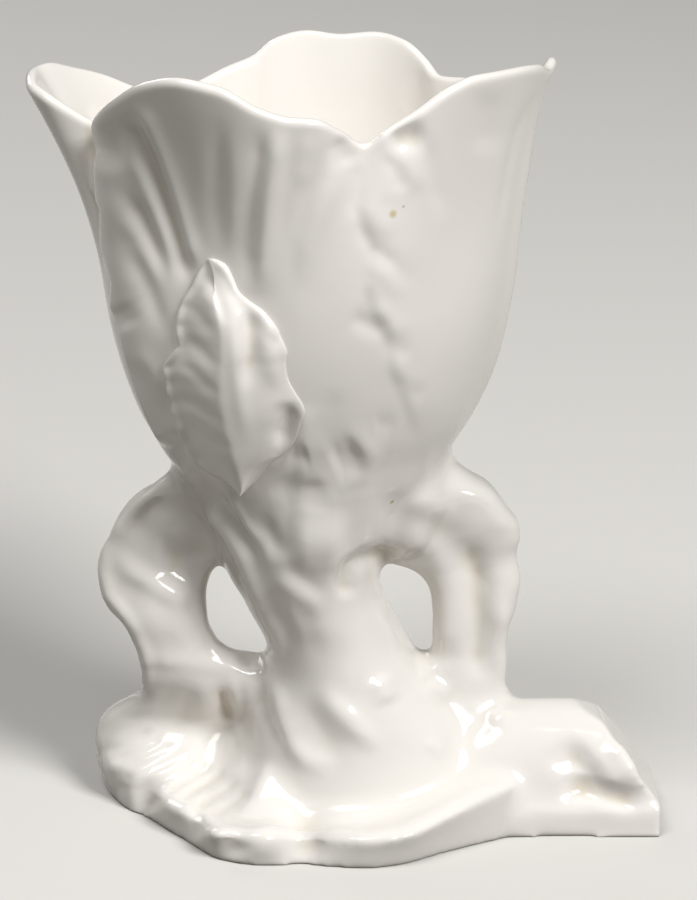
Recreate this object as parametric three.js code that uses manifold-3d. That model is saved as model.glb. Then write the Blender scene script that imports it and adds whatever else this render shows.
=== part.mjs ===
// A white glazed vase: a flower cup of overlapping petals on a leaning trunk, held by two
// leaf handles that stand on a spreading leaf base, with a sawn-off branch lying beside it.
// The cup, trunk, handles, base, branch and applied leaf are the pieces that a potter lutes
// together with slip, so they meet on flat luting faces.
// Millimetres, +Z up. The origin is on the table under the cup's axis, +X points to the
// branch and -Y to the front.

import * as THREE from "three";
import { mergeVertices } from "three/addons/utils/BufferGeometryUtils.js";
import Module from "manifold-3d";

const wasm = await Module();
wasm.setup();

// Cup
const cupHeight = 117; // luting face to the tallest petal tip
const bellyRadius = 53; // outside of the cup at its fullest
const wallThickness = 3; // of the cup, at its rim
const cupFloor = 3; // inside floor over the luting face
const cupFloorRadius = 18;
const rimBead = 1.4; // how far the rounded lip rises over its two edges
const petalStep = 2; // how far an outer petal stands over its neighbour
const pleatDepth = 1;
const pleatPitch = 17; // degrees from ridge to ridge

// Trunk and the bore that leads down from the cup
const trunkHeight = 84; // table to the luting face under the cup
const trunkRadius = 18; // at the waist
const trunkLean = 12; // how far the foot stands to the right of the cup's axis
const boreThickness = 6; // clay round the bore
const trunkOverlap = 4; // how far cup and trunk run into each other before they are parted
const wellFloor = 5; // clay under the bore
const boreMouth = 6; // how far the bore is cut up into the cup, past the cup's floor

// Leaf handles
const leftSpread = 52.5; // cup's axis to the outer edge of the left handle
const rightSpread = 54;
const handleDepth = 13; // front to back, where the handle is free

// Leaf base
const baseReach = 50; // cup's axis to the front right corner of the base
const lipHeight = 9; // table to the lip at the front
const lipRoll = 0.6; // how far the lip's crest rises over its edge
const lipWidth = 3; // edge to crest
const dishDepth = 1.2; // how far the dish lies under the lip's edge
const baseTop = 22; // top of the base inside the trunk
const baseJoint = 24; // table to the luting face on which trunk and handles stand

// Sawn branch
const branchReach = 89; // cup's axis to the branch's end
const branchHeight = 30;
const branchDepth = 24; // cup's axis to the front face of the branch
const branchJoint = 52; // cup's axis to the luting face beside the base
const branchRoot = 20; // where the branch starts inside the trunk
const sawSlope = 54; // degrees of the saw cut from level

// Applied leaf on the front of the cup
const leafThickness = 2;
const leafEdge = 1; // thickness of the leaf along its outline
const bedding = 0.3; // slip between leaf and cup

// Counts
const turns = 96; // columns round the cup
const baseTurns = 72;
const trunkTurns = 32;
const boreTurns = 20;
const handlePoints = 20;
const leafColumns = 8;

const cutShare = 4; // cutting blocks are this much larger than the vase
const cutSpan = (trunkHeight + cupHeight) * cutShare;
const boreRadius = trunkRadius - boreThickness;

// The cup's plain profile: height and radius, in shares of cup height and belly radius.
const profileShares = [
  [0, 0.47],
  [0.034, 0.54],
  [0.069, 0.613],
  [0.103, 0.67],
  [0.138, 0.713],
  [0.207, 0.792],
  [0.319, 0.877],
  [0.431, 0.934],
  [0.534, 0.966],
  [0.647, 0.987],
  [0.75, 1],
  [0.845, 1.01],
  [1, 1.04],
];

// The wavy rim: degrees from the right-hand side, height and outer radius, in the same shares.
// The five notches between the petals lie at 50, 132, 197 and 286 degrees and, shallow, at 350.
const rimShares = [
  [3, 0.923, 1.15],
  [10, 0.893, 1.13],
  [18, 0.868, 1.1],
  [32, 0.855, 1.085],
  [42, 0.846, 1.057],
  [50, 0.846, 1.025],
  [56, 0.871, 1.057],
  [64, 0.906, 1.094],
  [72, 0.917, 1.113],
  [82, 0.909, 1.104],
  [90, 0.916, 1.113],
  [98, 0.902, 1.104],
  [103, 0.87, 1.094],
  [112, 0.846, 1.075],
  [120, 0.825, 1.057],
  [132, 0.808, 1.019],
  [140, 0.825, 1.075],
  [150, 0.864, 1.15],
  [160, 0.891, 1.208],
  [169, 0.913, 1.264],
  [176, 0.913, 1.292],
  [184, 0.901, 1.283],
  [190, 0.884, 1.208],
  [194, 0.851, 1.075],
  [197, 0.829, 0.99],
  [203, 0.86, 1.02],
  [213, 0.903, 1.085],
  [225, 0.953, 1.17],
  [236, 0.996, 1.235],
  [244, 1, 1.25],
  [252, 0.985, 1.225],
  [260, 0.941, 1.16],
  [273, 0.914, 1.095],
  [280, 0.876, 1.019],
  [286, 0.838, 0.981],
  [292, 0.868, 1.019],
  [301, 0.906, 1.047],
  [309, 0.956, 1.075],
  [316, 0.975, 1.094],
  [330, 0.971, 1.113],
  [342, 0.961, 1.132],
  [350, 0.943, 1.142],
  [357, 0.951, 1.16],
];

// Levels of the outside and the inside, in shares of the height to the rim at that place.
const outsideShares = [0, 0.04, 0.09, 0.15, 0.22, 0.32, 0.43, 0.54, 0.65, 0.75, 0.84, 0.92, 0.985];
const insideShares = [0.985, 0.9, 0.78, 0.62, 0.45, 0.3, 0.2, 0.12];
const flareShare = 0.58; // where the cup starts to open to its petals
const rimShare = 0.985; // where the wall ends and the rounded lip starts
const flarePower = 1.95; // how late the front and back petals bend outwards
const flareSkew = 0.45; // how much later the right petals do so, and how much sooner the left one

// The edges of the two front petals: height share, then degrees.
const rightPetalEdgeShares = [
  [0.14, 323],
  [0.21, 311],
  [0.3, 306],
  [0.37, 301],
  [0.44, 296],
  [0.51, 293],
  [0.57, 291],
  [0.66, 288],
  [0.83, 286],
];
const leftPetalEdgeShares = [
  [0.14, 209],
  [0.42, 207],
  [0.66, 204],
  [0.83, 198],
];
const rightPetalEnd = 341; // degrees
const petalFootShare = 0.12; // under this height the petals run together

// The trunk: height share of the trunk, lean share, then half width and half depth in waist radii.
// Its last ring lies inside the cup's floor.
const trunkShares = [
  [0.06, 1, 2.1, 1.75],
  [0.17, 1, 2, 1.65],
  [0.29, 1, 1.72, 1.5],
  [0.38, 0.92, 1.33, 1.36],
  [0.48, 0.78, 1.08, 1.26],
  [0.555, 0.56, 0.99, 1.24],
  [0.68, 0.14, 0.99, 1.3],
  [0.77, -0.08, 1.08, 1.38],
  [0.84, -0.12, 1.14, 1.46],
  [0.91, -0.08, 1.24, 1.55],
  [1, 0, 1.39, 1.66],
  [1.03, 0, 1.3, 1.5],
];

// The handles: height share of the trunk, outer and inner edge in shares of the spread, then
// the middle and the half of the depth in shares of the handle's depth.
const leftHandleShares = [
  [1.12, 0.61, 0.56, 0, 0.4],
  [1.075, 0.615, 0.52, 0, 0.46],
  [1.029, 0.7, 0.42, 0.04, 0.5],
  [0.998, 0.796, 0.34, 0.08, 0.5],
  [0.954, 0.869, 0.27, 0.12, 0.5],
  [0.871, 0.933, 0.19, 0.15, 0.5],
  [0.815, 0.979, 0.23, 0.15, 0.5],
  [0.792, 0.99, 0.34, 0.15, 0.5],
  [0.77, 0.998, 0.42, 0.15, 0.5],
  [0.738, 1, 0.463, 0.12, 0.5],
  [0.69, 0.992, 0.484, 0.08, 0.5],
  [0.638, 0.96, 0.482, 0.04, 0.5],
  [0.577, 0.865, 0.469, 0, 0.5],
  [0.532, 0.836, 0.43, 0, 0.5],
  [0.5, 0.82, 0.37, 0, 0.52],
  [0.48, 0.814, 0.28, 0, 0.54],
  [0.468, 0.81, 0.13, 0, 0.55],
  [0.42, 0.796, 0.1, 0, 0.62],
  [0.371, 0.798, 0.1, 0.06, 0.74],
  [0.333, 0.836, 0.12, 0.14, 0.86],
  [0.301, 0.91, 0.16, 0.28, 0.98],
  [0.268, 0.985, 0.22, 0.46, 1.06],
  [0.226, 1.034, 0.3, 0.6, 1.1],
  [0.14, 1.045, 0.4, 0.7, 1.12],
  [0.06, 1, 0.44, 0.7, 1.06],
];
const rightHandleShares = [
  [1.13, 0.66, 0.6, 0, 0.3],
  [1.106, 0.68, 0.58, 0, 0.44],
  [1.069, 0.72, 0.52, 0, 0.5],
  [1.044, 0.781, 0.46, 0.02, 0.5],
  [1.019, 0.852, 0.4, 0.04, 0.5],
  [0.95, 0.937, 0.28, 0.06, 0.5],
  [0.904, 0.989, 0.22, 0.08, 0.5],
  [0.865, 0.998, 0.22, 0.08, 0.5],
  [0.818, 0.982, 0.26, 0.08, 0.5],
  [0.79, 0.983, 0.33, 0.08, 0.5],
  [0.774, 0.987, 0.43, 0.08, 0.5],
  [0.75, 0.996, 0.51, 0.06, 0.5],
  [0.714, 1, 0.561, 0.04, 0.5],
  [0.686, 0.993, 0.58, 0.02, 0.5],
  [0.629, 0.976, 0.59, 0, 0.5],
  [0.58, 0.943, 0.59, 0, 0.5],
  [0.532, 0.93, 0.588, 0, 0.5],
  [0.494, 0.93, 0.57, 0, 0.5],
  [0.474, 0.931, 0.5, 0, 0.52],
  [0.458, 0.931, 0.37, 0, 0.54],
  [0.388, 0.937, 0.19, 0, 0.62],
  [0.357, 0.963, 0.19, 0, 0.7],
  [0.286, 1, 0.19, 0, 0.9],
  [0.17, 1.03, 0.19, 0, 1.2],
];

// Each handle is parted from the trunk on a plane that leans through its hand hole. In shares
// of the spread: where the plane meets the base's luting face and the cup's.
const leftPartingShares = [0.27, 0.505];
const rightPartingShares = [0.525, 0.465];
// The branch is parted from the right handle on a plane that leans out from the top of its
// luting face. In shares of the rise from there to the cup: how far it leans.
const branchLeanShare = 0.625;

// The leaf base: degrees, foot and lip in shares of its reach, lip height in shares of the lip.
const baseShares = [
  [0, 1.16, 1.14, 1.67],
  [12, 1.14, 1.12, 1.56],
  [22, 1.08, 1.08, 1.44],
  [34, 1.02, 1.03, 1.28],
  [46, 1, 1.02, 1.17],
  [58, 0.91, 0.9, 1.06],
  [70, 0.9, 0.92, 1.06],
  [84, 0.83, 0.84, 1],
  [97, 0.78, 0.75, 0.94],
  [110, 0.85, 0.87, 1],
  [123, 0.91, 0.93, 1],
  [135, 0.96, 0.95, 0.94],
  [143, 1.06, 1.09, 1],
  [152, 1.12, 1.17, 1],
  [159, 1.13, 1.19, 1],
  [168, 1.08, 1.13, 1],
  [178, 0.985, 1.01, 1],
  [187, 0.91, 0.91, 1],
  [192, 0.85, 0.8, 0.94],
  [204, 0.8, 0.79, 1],
  [217, 0.785, 0.78, 1],
  [223, 0.78, 0.73, 0.94],
  [232, 0.83, 0.85, 1],
  [241, 0.865, 0.895, 1],
  [250, 0.86, 0.86, 1],
  [258, 0.83, 0.78, 0.94],
  [265, 0.775, 0.66, 0.89],
  [269, 0.765, 0.64, 0.89],
  [274, 0.81, 0.82, 0.94],
  [281, 0.86, 0.85, 1],
  [290, 0.91, 0.93, 1.06],
  [303, 0.94, 0.98, 1.17],
  [312, 0.942, 0.97, 1.28],
  [325, 1, 1.01, 1.5],
  [337, 1.11, 1.1, 1.67],
  [348, 1.16, 1.14, 1.67],
];
// Rings of the base's top, from the dish to the middle: share of the lip, share of the rise.
const dishShares = [
  [0.82, 0],
  [0.66, 0.2],
  [0.52, 0.55],
  [0.36, 1],
];

// The branch's two sections, from the back foot over the crest to the front foot: shares of
// branch depth, negative to the front, and of branch height. Near the base the flank falls
// evenly. Towards the saw cut it is dished and ends in a low ledge.
const branchRootShares = [
  [0.5, 0],
  [0.54, 0.27],
  [0.42, 0.6],
  [0.17, 0.87],
  [-0.08, 0.99],
  [-0.25, 0.97],
  [-0.46, 0.83],
  [-0.67, 0.67],
  [-0.88, 0.55],
  [-1.02, 0.45],
  [-1.04, 0.23],
  [-0.95, 0],
];
const branchEndShares = [
  [0.5, 0],
  [0.54, 0.27],
  [0.38, 0.6],
  [0.12, 0.87],
  [-0.08, 1],
  [-0.25, 1],
  [-0.38, 0.87],
  [-0.52, 0.62],
  [-0.71, 0.45],
  [-0.94, 0.42],
  [-1, 0.27],
  [-0.94, 0],
];
// Stations along the branch: share of the way from its root to its end, share of the dished
// form, then how much wider and lower it is where it runs out into the base.
const branchStationShares = [
  [0, 0, 1.2, 0.6],
  [0.16, 0, 1.15, 0.75],
  [0.33, 0, 1.05, 0.92],
  [0.46, 0, 1, 1],
  [0.58, 0.35, 0.97, 1],
  [0.72, 0.8, 0.97, 1],
  [0.86, 1, 1, 1],
  [1.1, 1, 1, 1],
];
const crestShare = 0.74; // how far along the branch the level crest runs before the saw cut

// The applied leaf: height share of the cup, then the degrees of its left and right edge.
const leafEdgeShares = [
  [0.096, 241, 247],
  [0.121, 227, 253],
  [0.177, 224, 261],
  [0.232, 224, 268],
  [0.297, 225.5, 271],
  [0.351, 227, 267],
  [0.385, 231, 266.5],
  [0.431, 233.5, 265],
  [0.481, 233.5, 260],
  [0.513, 236, 257.5],
  [0.541, 239, 253.5],
  [0.569, 241, 251.5],
  [0.616, 245, 247],
];

const radians = THREE.MathUtils.degToRad;

// The values beside key in a table sorted by its first column, on straight lines between rows.
function between(table, key) {
  const last = table.length - 1;
  if (key <= table[0][0]) return table[0].slice(1);
  if (key >= table[last][0]) return table[last].slice(1);
  const row = table.findIndex((entry) => entry[0] > key);
  const share = (key - table[row - 1][0]) / (table[row][0] - table[row - 1][0]);
  return table[row].slice(1).map((value, i) => {
    return THREE.MathUtils.lerp(table[row - 1][i + 1], value, share);
  });
}

// The same for a table that goes once round in degrees.
function around(table, degrees) {
  const turn = ((degrees % 360) + 360) % 360;
  const first = table[0];
  const last = table[table.length - 1];
  const wrapped = [[last[0] - 360, ...last.slice(1)], ...table, [first[0] + 360, ...first.slice(1)]];
  return between(wrapped, turn);
}

// A closed body through rings with equally many points. Each end is closed by a fan.
function loft(rings) {
  const count = rings[0].length;
  const corners = [];
  for (let ring = 0; ring + 1 < rings.length; ring++) {
    for (let i = 0; i < count; i++) {
      const here = ring * count + i;
      const next = ring * count + ((i + 1) % count);
      corners.push(here, next, next + count);
      corners.push(here, next + count, here + count);
    }
  }
  const points = rings.flat();
  const lastRing = (rings.length - 1) * count;
  const firstMiddle = points.length;
  const lastMiddle = firstMiddle + 1;
  for (let i = 0; i < count; i++) {
    const next = (i + 1) % count;
    corners.push(next, i, firstMiddle);
    corners.push(lastRing + i, lastRing + next, lastMiddle);
  }
  points.push(middleOf(rings[0]), middleOf(rings[rings.length - 1]));
  const geometry = new THREE.BufferGeometry();
  geometry.setAttribute("position", new THREE.Float32BufferAttribute(points.flat(), 3));
  geometry.setIndex(corners);
  return solidOf(geometry);
}

function middleOf(ring) {
  const sum = ring.reduce((total, point) => total.map((value, i) => value + point[i]), [0, 0, 0]);
  return sum.map((value) => value / ring.length);
}

// A three.js geometry as a solid that can be joined and cut.
function solidOf(geometry) {
  geometry.deleteAttribute("normal");
  geometry.deleteAttribute("uv");
  const merged = mergeVertices(geometry);
  const mesh = new wasm.Mesh({
    numProp: 3,
    vertProperties: merged.attributes.position.array,
    triVerts: new Uint32Array(merged.index.array),
  });
  return new wasm.Manifold(mesh);
}

function geometryOf(solid) {
  const mesh = solid.getMesh();
  const geometry = new THREE.BufferGeometry();
  geometry.setAttribute("position", new THREE.BufferAttribute(mesh.vertProperties, 3));
  geometry.setIndex(new THREE.BufferAttribute(mesh.triVerts, 1));
  const faceted = geometry.toNonIndexed();
  faceted.computeVertexNormals();
  return faceted;
}

// How far a front petal stands over its neighbour: most at its left edge, where it overlaps
// the next petal, and nothing at its right edge, where it runs in under the one that follows.
function petalLift(degrees, heightShare) {
  if (heightShare < petalFootShare) return 0;
  const [rightEdge] = between(rightPetalEdgeShares, heightShare);
  const [leftEdge] = between(leftPetalEdgeShares, heightShare);
  const grown = (heightShare - petalFootShare) / (1 - petalFootShare);
  const step = petalStep * Math.sin(Math.PI * Math.sqrt(grown));
  if (degrees < leftEdge || degrees > rightPetalEnd) return 0;
  if (degrees < rightEdge) return (step * (rightEdge - degrees)) / (rightEdge - leftEdge);
  return (step * (rightPetalEnd - degrees)) / (rightPetalEnd - rightEdge);
}

// Soft pleats that fan out over the front left petal.
function pleat(degrees, heightShare) {
  const [rightEdge] = between(rightPetalEdgeShares, heightShare);
  const [leftEdge] = between(leftPetalEdgeShares, heightShare);
  if (degrees < leftEdge || degrees > rightEdge) return 0;
  const across = Math.sin((Math.PI * (degrees - leftEdge)) / (rightEdge - leftEdge));
  const up = Math.sin(Math.PI * Math.min(1, Math.max(0, heightShare)));
  return pleatDepth * across * up * Math.cos(radians((360 * (degrees - leftEdge)) / pleatPitch));
}

// The rim at this place: height over the cup's luting face and outer radius.
function rimAt(degrees) {
  const [height, spread] = around(rimShares, degrees);
  return { height: height * cupHeight, spread: spread * bellyRadius };
}

// The cup's outer radius at this share of the way from its foot to the rim above.
function cupRadius(degrees, share, carved = true) {
  const rim = rimAt(degrees);
  const heightShare = (share * rim.height) / cupHeight;
  const [plain] = between(profileShares, heightShare);
  const [plainRim] = between(profileShares, rim.height / cupHeight);
  const opened = Math.max(0, (share - flareShare) / (rimShare - flareShare));
  const lateness = flarePower + flareSkew * Math.cos(radians(degrees));
  const flare = (rim.spread - plainRim * bellyRadius) * opened ** lateness;
  const relief = carved ? petalLift(degrees, heightShare) + pleat(degrees, heightShare) : 0;
  return plain * bellyRadius + flare + relief * Math.max(0, 1 - opened ** 2);
}

function polar(radius, degrees, height) {
  return [radius * Math.cos(radians(degrees)), radius * Math.sin(radians(degrees)), height];
}

function fullTurn(count) {
  return Array.from({ length: count }, (_, i) => (360 * i) / count);
}

function cupLevel(degrees, share) {
  return trunkHeight + share * rimAt(degrees).height;
}

// The rings up the cup's outside, grown outwards where something has to lie clear of it.
function cupOutside(grown) {
  return outsideShares.map((share) => {
    return fullTurn(turns).map((a) => polar(cupRadius(a, share) + grown, a, cupLevel(a, share)));
  });
}

// The cup from its foot up the outside, over the lip and down to its inside floor.
function makeCup() {
  const compass = fullTurn(turns);
  const foot = compass.map((a) => polar(cupRadius(a, 0) - wallThickness, a, trunkHeight - trunkOverlap));
  const lip = compass.map((a) => {
    return polar(cupRadius(a, rimShare) - wallThickness / 2, a, cupLevel(a, rimShare) + rimBead);
  });
  const inside = insideShares.map((share) => {
    const wall = wallThickness * (1 + (1 - share) ** 2);
    return compass.map((a) => polar(cupRadius(a, share, false) - wall, a, cupLevel(a, share)));
  });
  const floor = compass.map((a) => polar(cupFloorRadius, a, trunkHeight + cupFloor));
  return loft([foot, ...cupOutside(0), lip, ...inside, floor]);
}

function trunkRings(table, count, radiusOf) {
  return table.map(([height, lean, width, depth]) => {
    return fullTurn(count).map((a) => {
      const [x, y] = polar(1, a, 0);
      const radius = radiusOf(width, depth);
      return [trunkLean * lean + x * radius[0], y * radius[1], trunkHeight * height];
    });
  });
}

function makeTrunk() {
  const rings = trunkRings(trunkShares, trunkTurns, (width, depth) => {
    return [trunkRadius * width, trunkRadius * depth];
  });
  return loft(rings);
}

// The round bore follows the trunk's lean from the well in the base up into the cup.
function makeBore() {
  const rings = trunkRings(trunkShares, boreTurns, () => [boreRadius, boreRadius]);
  const foot = rings[0].map(([x, y]) => [x, y, wellFloor]);
  const mouth = rings[rings.length - 1].map(([x, y]) => [x, y, trunkHeight + boreMouth]);
  return loft([foot, ...rings.slice(1), mouth]);
}

// A handle is a crinkled leaf seen from the front: each level is a flat oval between its edges.
function makeHandle(table, spread) {
  const rings = table.map(([height, outer, inner, middle, half]) => {
    return fullTurn(handlePoints).map((a) => {
      const [x, y] = polar(1, a, 0);
      const centre = (spread * (outer + inner)) / 2;
      const reach = (Math.abs(spread) * (outer - inner)) / 2;
      return [centre + x * reach, handleDepth * (middle + y * half), trunkHeight * height];
    });
  });
  return loft(rings.reverse());
}

function makeBase() {
  const edges = fullTurn(baseTurns).map((a) => {
    const [foot, lip, height] = around(baseShares, a);
    return { a, foot: foot * baseReach, lip: lip * baseReach, height: height * lipHeight };
  });
  const foot = edges.map((e) => polar(e.foot, e.a, 0));
  const edge = edges.map((e) => polar(e.lip, e.a, e.height - lipRoll));
  const crest = edges.map((e) => polar(e.lip - lipWidth, e.a, e.height));
  const dish = dishShares.map(([share, rise]) => {
    return edges.map((e) => {
      const low = e.height - dishDepth;
      return polar((e.lip - lipWidth) * share, e.a, low + (baseTop - low) * rise);
    });
  });
  return loft([foot, edge, crest, ...dish]);
}

// The branch lies along X. The saw cut slants down from the crest to the end of the ledge.
function makeBranch() {
  const rings = branchStationShares.map(([along, dished, wide, high]) => {
    const x = branchRoot + (branchReach - branchRoot) * along;
    return branchRootShares.map(([depth, height], i) => {
      const [endDepth, endHeight] = branchEndShares[i];
      const y = branchDepth * wide * THREE.MathUtils.lerp(depth, endDepth, dished);
      return [x, y, branchHeight * high * THREE.MathUtils.lerp(height, endHeight, dished)];
    });
  });
  const crestEnd = branchRoot + (branchReach - branchRoot) * crestShare;
  const sawn = block(-cutSpan, cutSpan, -cutSpan, cutSpan, 0, cutSpan);
  sawn.rotateY(radians(sawSlope)).translate(crestEnd, 0, branchHeight);
  const end = block(branchReach, cutSpan, -cutSpan, cutSpan, -cutSpan, cutSpan);
  return loft(rings).subtract(solidOf(sawn)).subtract(solidOf(end));
}

function block(x0, x1, y0, y1, z0, z1) {
  const box = new THREE.BoxGeometry(x1 - x0, y1 - y0, z1 - z0);
  return box.translate((x0 + x1) / 2, (y0 + y1) / 2, (z0 + z1) / 2);
}

// What of the clay body lies within an outline drawn in the front view.
function part(points) {
  const shape = new THREE.Shape(points.map(([x, z]) => new THREE.Vector2(x, z)));
  const plate = new THREE.ExtrudeGeometry(shape, { depth: 2 * cutSpan, bevelEnabled: false });
  return body.intersect(solidOf(plate.rotateX(Math.PI / 2).translate(0, cutSpan, 0)));
}

// The applied leaf lies on the cup's front, thin along its outline and full in the middle.
// Its back takes the cup's own form, one bed of slip away from it.
function makeLeaf() {
  const columns = Array.from({ length: leafColumns + 1 }, (_, i) => i / leafColumns);
  const rings = leafEdgeShares.map(([height, left, right]) => {
    const place = (across, lift) => {
      const degrees = THREE.MathUtils.lerp(left, right, across);
      const share = (height * cupHeight) / rimAt(degrees).height;
      return polar(cupRadius(degrees, share) + lift, degrees, cupLevel(degrees, share));
    };
    const back = columns.map((across) => place(across, -leafThickness));
    const face = columns.map((across) => {
      const fullness = Math.sin(Math.PI * across);
      return place(across, bedding + leafEdge + (leafThickness - leafEdge) * fullness);
    });
    return [...back.reverse(), ...face];
  });
  return loft(rings).subtract(loft(cupOutside(bedding)));
}

function glazed(name, solid) {
  const glaze = new THREE.MeshStandardMaterial({ color: 0xefeae4, roughness: 0.12, metalness: 0 });
  const mesh = new THREE.Mesh(geometryOf(solid), glaze);
  mesh.name = name;
  return mesh;
}

// The whole clay body, hollowed by the bore and then parted at its luting faces.
const body = makeTrunk()
  .add(makeBase())
  .add(makeHandle(leftHandleShares, -leftSpread))
  .add(makeHandle(rightHandleShares, rightSpread))
  .add(makeBranch())
  .add(makeCup())
  .subtract(makeBore());

const branchLean = (trunkHeight - baseJoint) * branchLeanShare;
const [leftFoot, leftTop] = leftPartingShares.map((share) => -leftSpread * share);
const [rightFoot, rightTop] = rightPartingShares.map((share) => rightSpread * share);

const cup = part([
  [-cutSpan, trunkHeight],
  [cutSpan, trunkHeight],
  [cutSpan, cutSpan],
  [-cutSpan, cutSpan],
]);
const trunk = part([
  [leftFoot, baseJoint],
  [rightFoot, baseJoint],
  [rightTop, trunkHeight],
  [leftTop, trunkHeight],
]);
const leftHandle = part([
  [-cutSpan, baseJoint],
  [leftFoot, baseJoint],
  [leftTop, trunkHeight],
  [-cutSpan, trunkHeight],
]);
const rightHandle = part([
  [rightFoot, baseJoint],
  [branchJoint, baseJoint],
  [branchJoint + branchLean, trunkHeight],
  [rightTop, trunkHeight],
]);
const base = part([
  [-cutSpan, -cutSpan],
  [branchJoint, -cutSpan],
  [branchJoint, baseJoint],
  [-cutSpan, baseJoint],
]);
const branch = part([
  [branchJoint, -cutSpan],
  [cutSpan, -cutSpan],
  [cutSpan, trunkHeight],
  [branchJoint + branchLean, trunkHeight],
  [branchJoint, baseJoint],
]);

const vase = new THREE.Group();
vase.add(glazed("flower_cup", cup));
vase.add(glazed("applied_leaf", makeLeaf()));
vase.add(glazed("trunk", trunk));
vase.add(glazed("left_handle", leftHandle));
vase.add(glazed("right_handle", rightHandle));
vase.add(glazed("leaf_base", base));
vase.add(glazed("cut_branch", branch));

export default vase;
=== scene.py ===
"""A white glazed flower vase, worked up as clay around its packed construction.

The clay below the cup is built from blanks that are joined into one skin, filled along their
joins, worked with a modelling tool and then parted at its luting faces. The cup is one sheet
that runs up its outside, over the lip and down its inside. The leaf on its front is a sprig.
Clay is worked in millimetres. Firing scales it to the frame's metres and glazes it.
"""

import logging
import math
from bisect import bisect_right
from collections import defaultdict
from collections.abc import Callable, Iterable, Sequence
from dataclasses import dataclass, field
from enum import Enum
from functools import lru_cache
from itertools import product

import bmesh
import bpy
from bmesh.types import BMesh, BMVert
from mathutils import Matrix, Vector
from mathutils.bvhtree import BVHTree
from mathutils.geometry import intersect_point_line


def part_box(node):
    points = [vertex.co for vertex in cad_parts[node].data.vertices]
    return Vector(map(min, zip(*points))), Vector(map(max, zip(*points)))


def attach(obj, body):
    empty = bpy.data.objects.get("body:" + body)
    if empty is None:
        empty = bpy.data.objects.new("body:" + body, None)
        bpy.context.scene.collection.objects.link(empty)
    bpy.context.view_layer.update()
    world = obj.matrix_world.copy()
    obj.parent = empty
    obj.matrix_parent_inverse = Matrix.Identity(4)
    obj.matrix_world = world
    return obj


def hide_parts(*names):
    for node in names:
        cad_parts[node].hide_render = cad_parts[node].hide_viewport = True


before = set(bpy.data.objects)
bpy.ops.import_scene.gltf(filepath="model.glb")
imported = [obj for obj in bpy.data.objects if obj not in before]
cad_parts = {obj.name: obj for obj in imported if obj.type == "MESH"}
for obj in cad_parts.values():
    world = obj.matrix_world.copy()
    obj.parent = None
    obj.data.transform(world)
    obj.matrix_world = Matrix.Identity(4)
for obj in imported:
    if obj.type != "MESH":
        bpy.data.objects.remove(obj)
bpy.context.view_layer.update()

LOG = logging.getLogger("vase")

Table = tuple[tuple[float, ...], ...]
Line = tuple[tuple[float, float], ...]

MM = 0.001

# Camera in millimetres, found from the rim's and the base's outlines. FOCAL is in pixels.
IMAGE_WIDTH, IMAGE_HEIGHT = 697, 900
SENSOR = 36.0
LENS = 152.0
CAMERA_TARGET = Vector((10.5, 0, 95))
CAMERA_DISTANCE = 950.0
TILT = math.radians(16.5)
FORWARD = Vector((0, math.cos(TILT), -math.sin(TILT)))
UPWARD = Vector((0, math.sin(TILT), math.cos(TILT)))
EYE = CAMERA_TARGET - FORWARD * CAMERA_DISTANCE
FOCAL = LENS / SENSOR * IMAGE_HEIGHT
# The nearest and farthest that the camera shows, in metres
CLIP_START, CLIP_END = 0.05, 20.0

# Luting faces in millimetres, read from the construction
CUP_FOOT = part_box("flower_cup")[0].z / MM
TRUNK_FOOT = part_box("trunk")[0].z / MM
BRANCH_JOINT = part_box("cut_branch")[0].x / MM
BRANCH_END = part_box("cut_branch")[1].x / MM
BRANCH_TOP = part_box("cut_branch")[1].z / MM
LEFT_PARTING = (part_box("left_handle")[1].x / MM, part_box("trunk")[0].x / MM)
RIGHT_PARTING = (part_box("trunk")[1].x / MM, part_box("right_handle")[0].x / MM)

# Radius of the bore that runs from the cup's floor down to the well in the base
BORE = 12.0
# Points closer than this are one
WELD = 1e-3
# The layers that keep each point's hollow and the normal that it had before the parting
HOLLOW_LAYER = "hollow"
SKIN_LAYER = "skin"
# A face corner whose two normals agree by more than this cosine is skin, any other a cut's
SAME_SKIN = 0.6
# Edges that turn further than this stay sharp
SHARP_ANGLE = math.radians(55)


def smoothstep(value: float) -> float:
    """Returns 0 below 0, 1 above 1 and an even ease between."""
    share = min(max(value, 0.0), 1.0)
    return share * share * (3 - 2 * share)


def mix(first: float, second: float, share: float) -> float:
    """Returns the value at this share of the way from first to second."""
    return first + (second - first) * share


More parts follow.
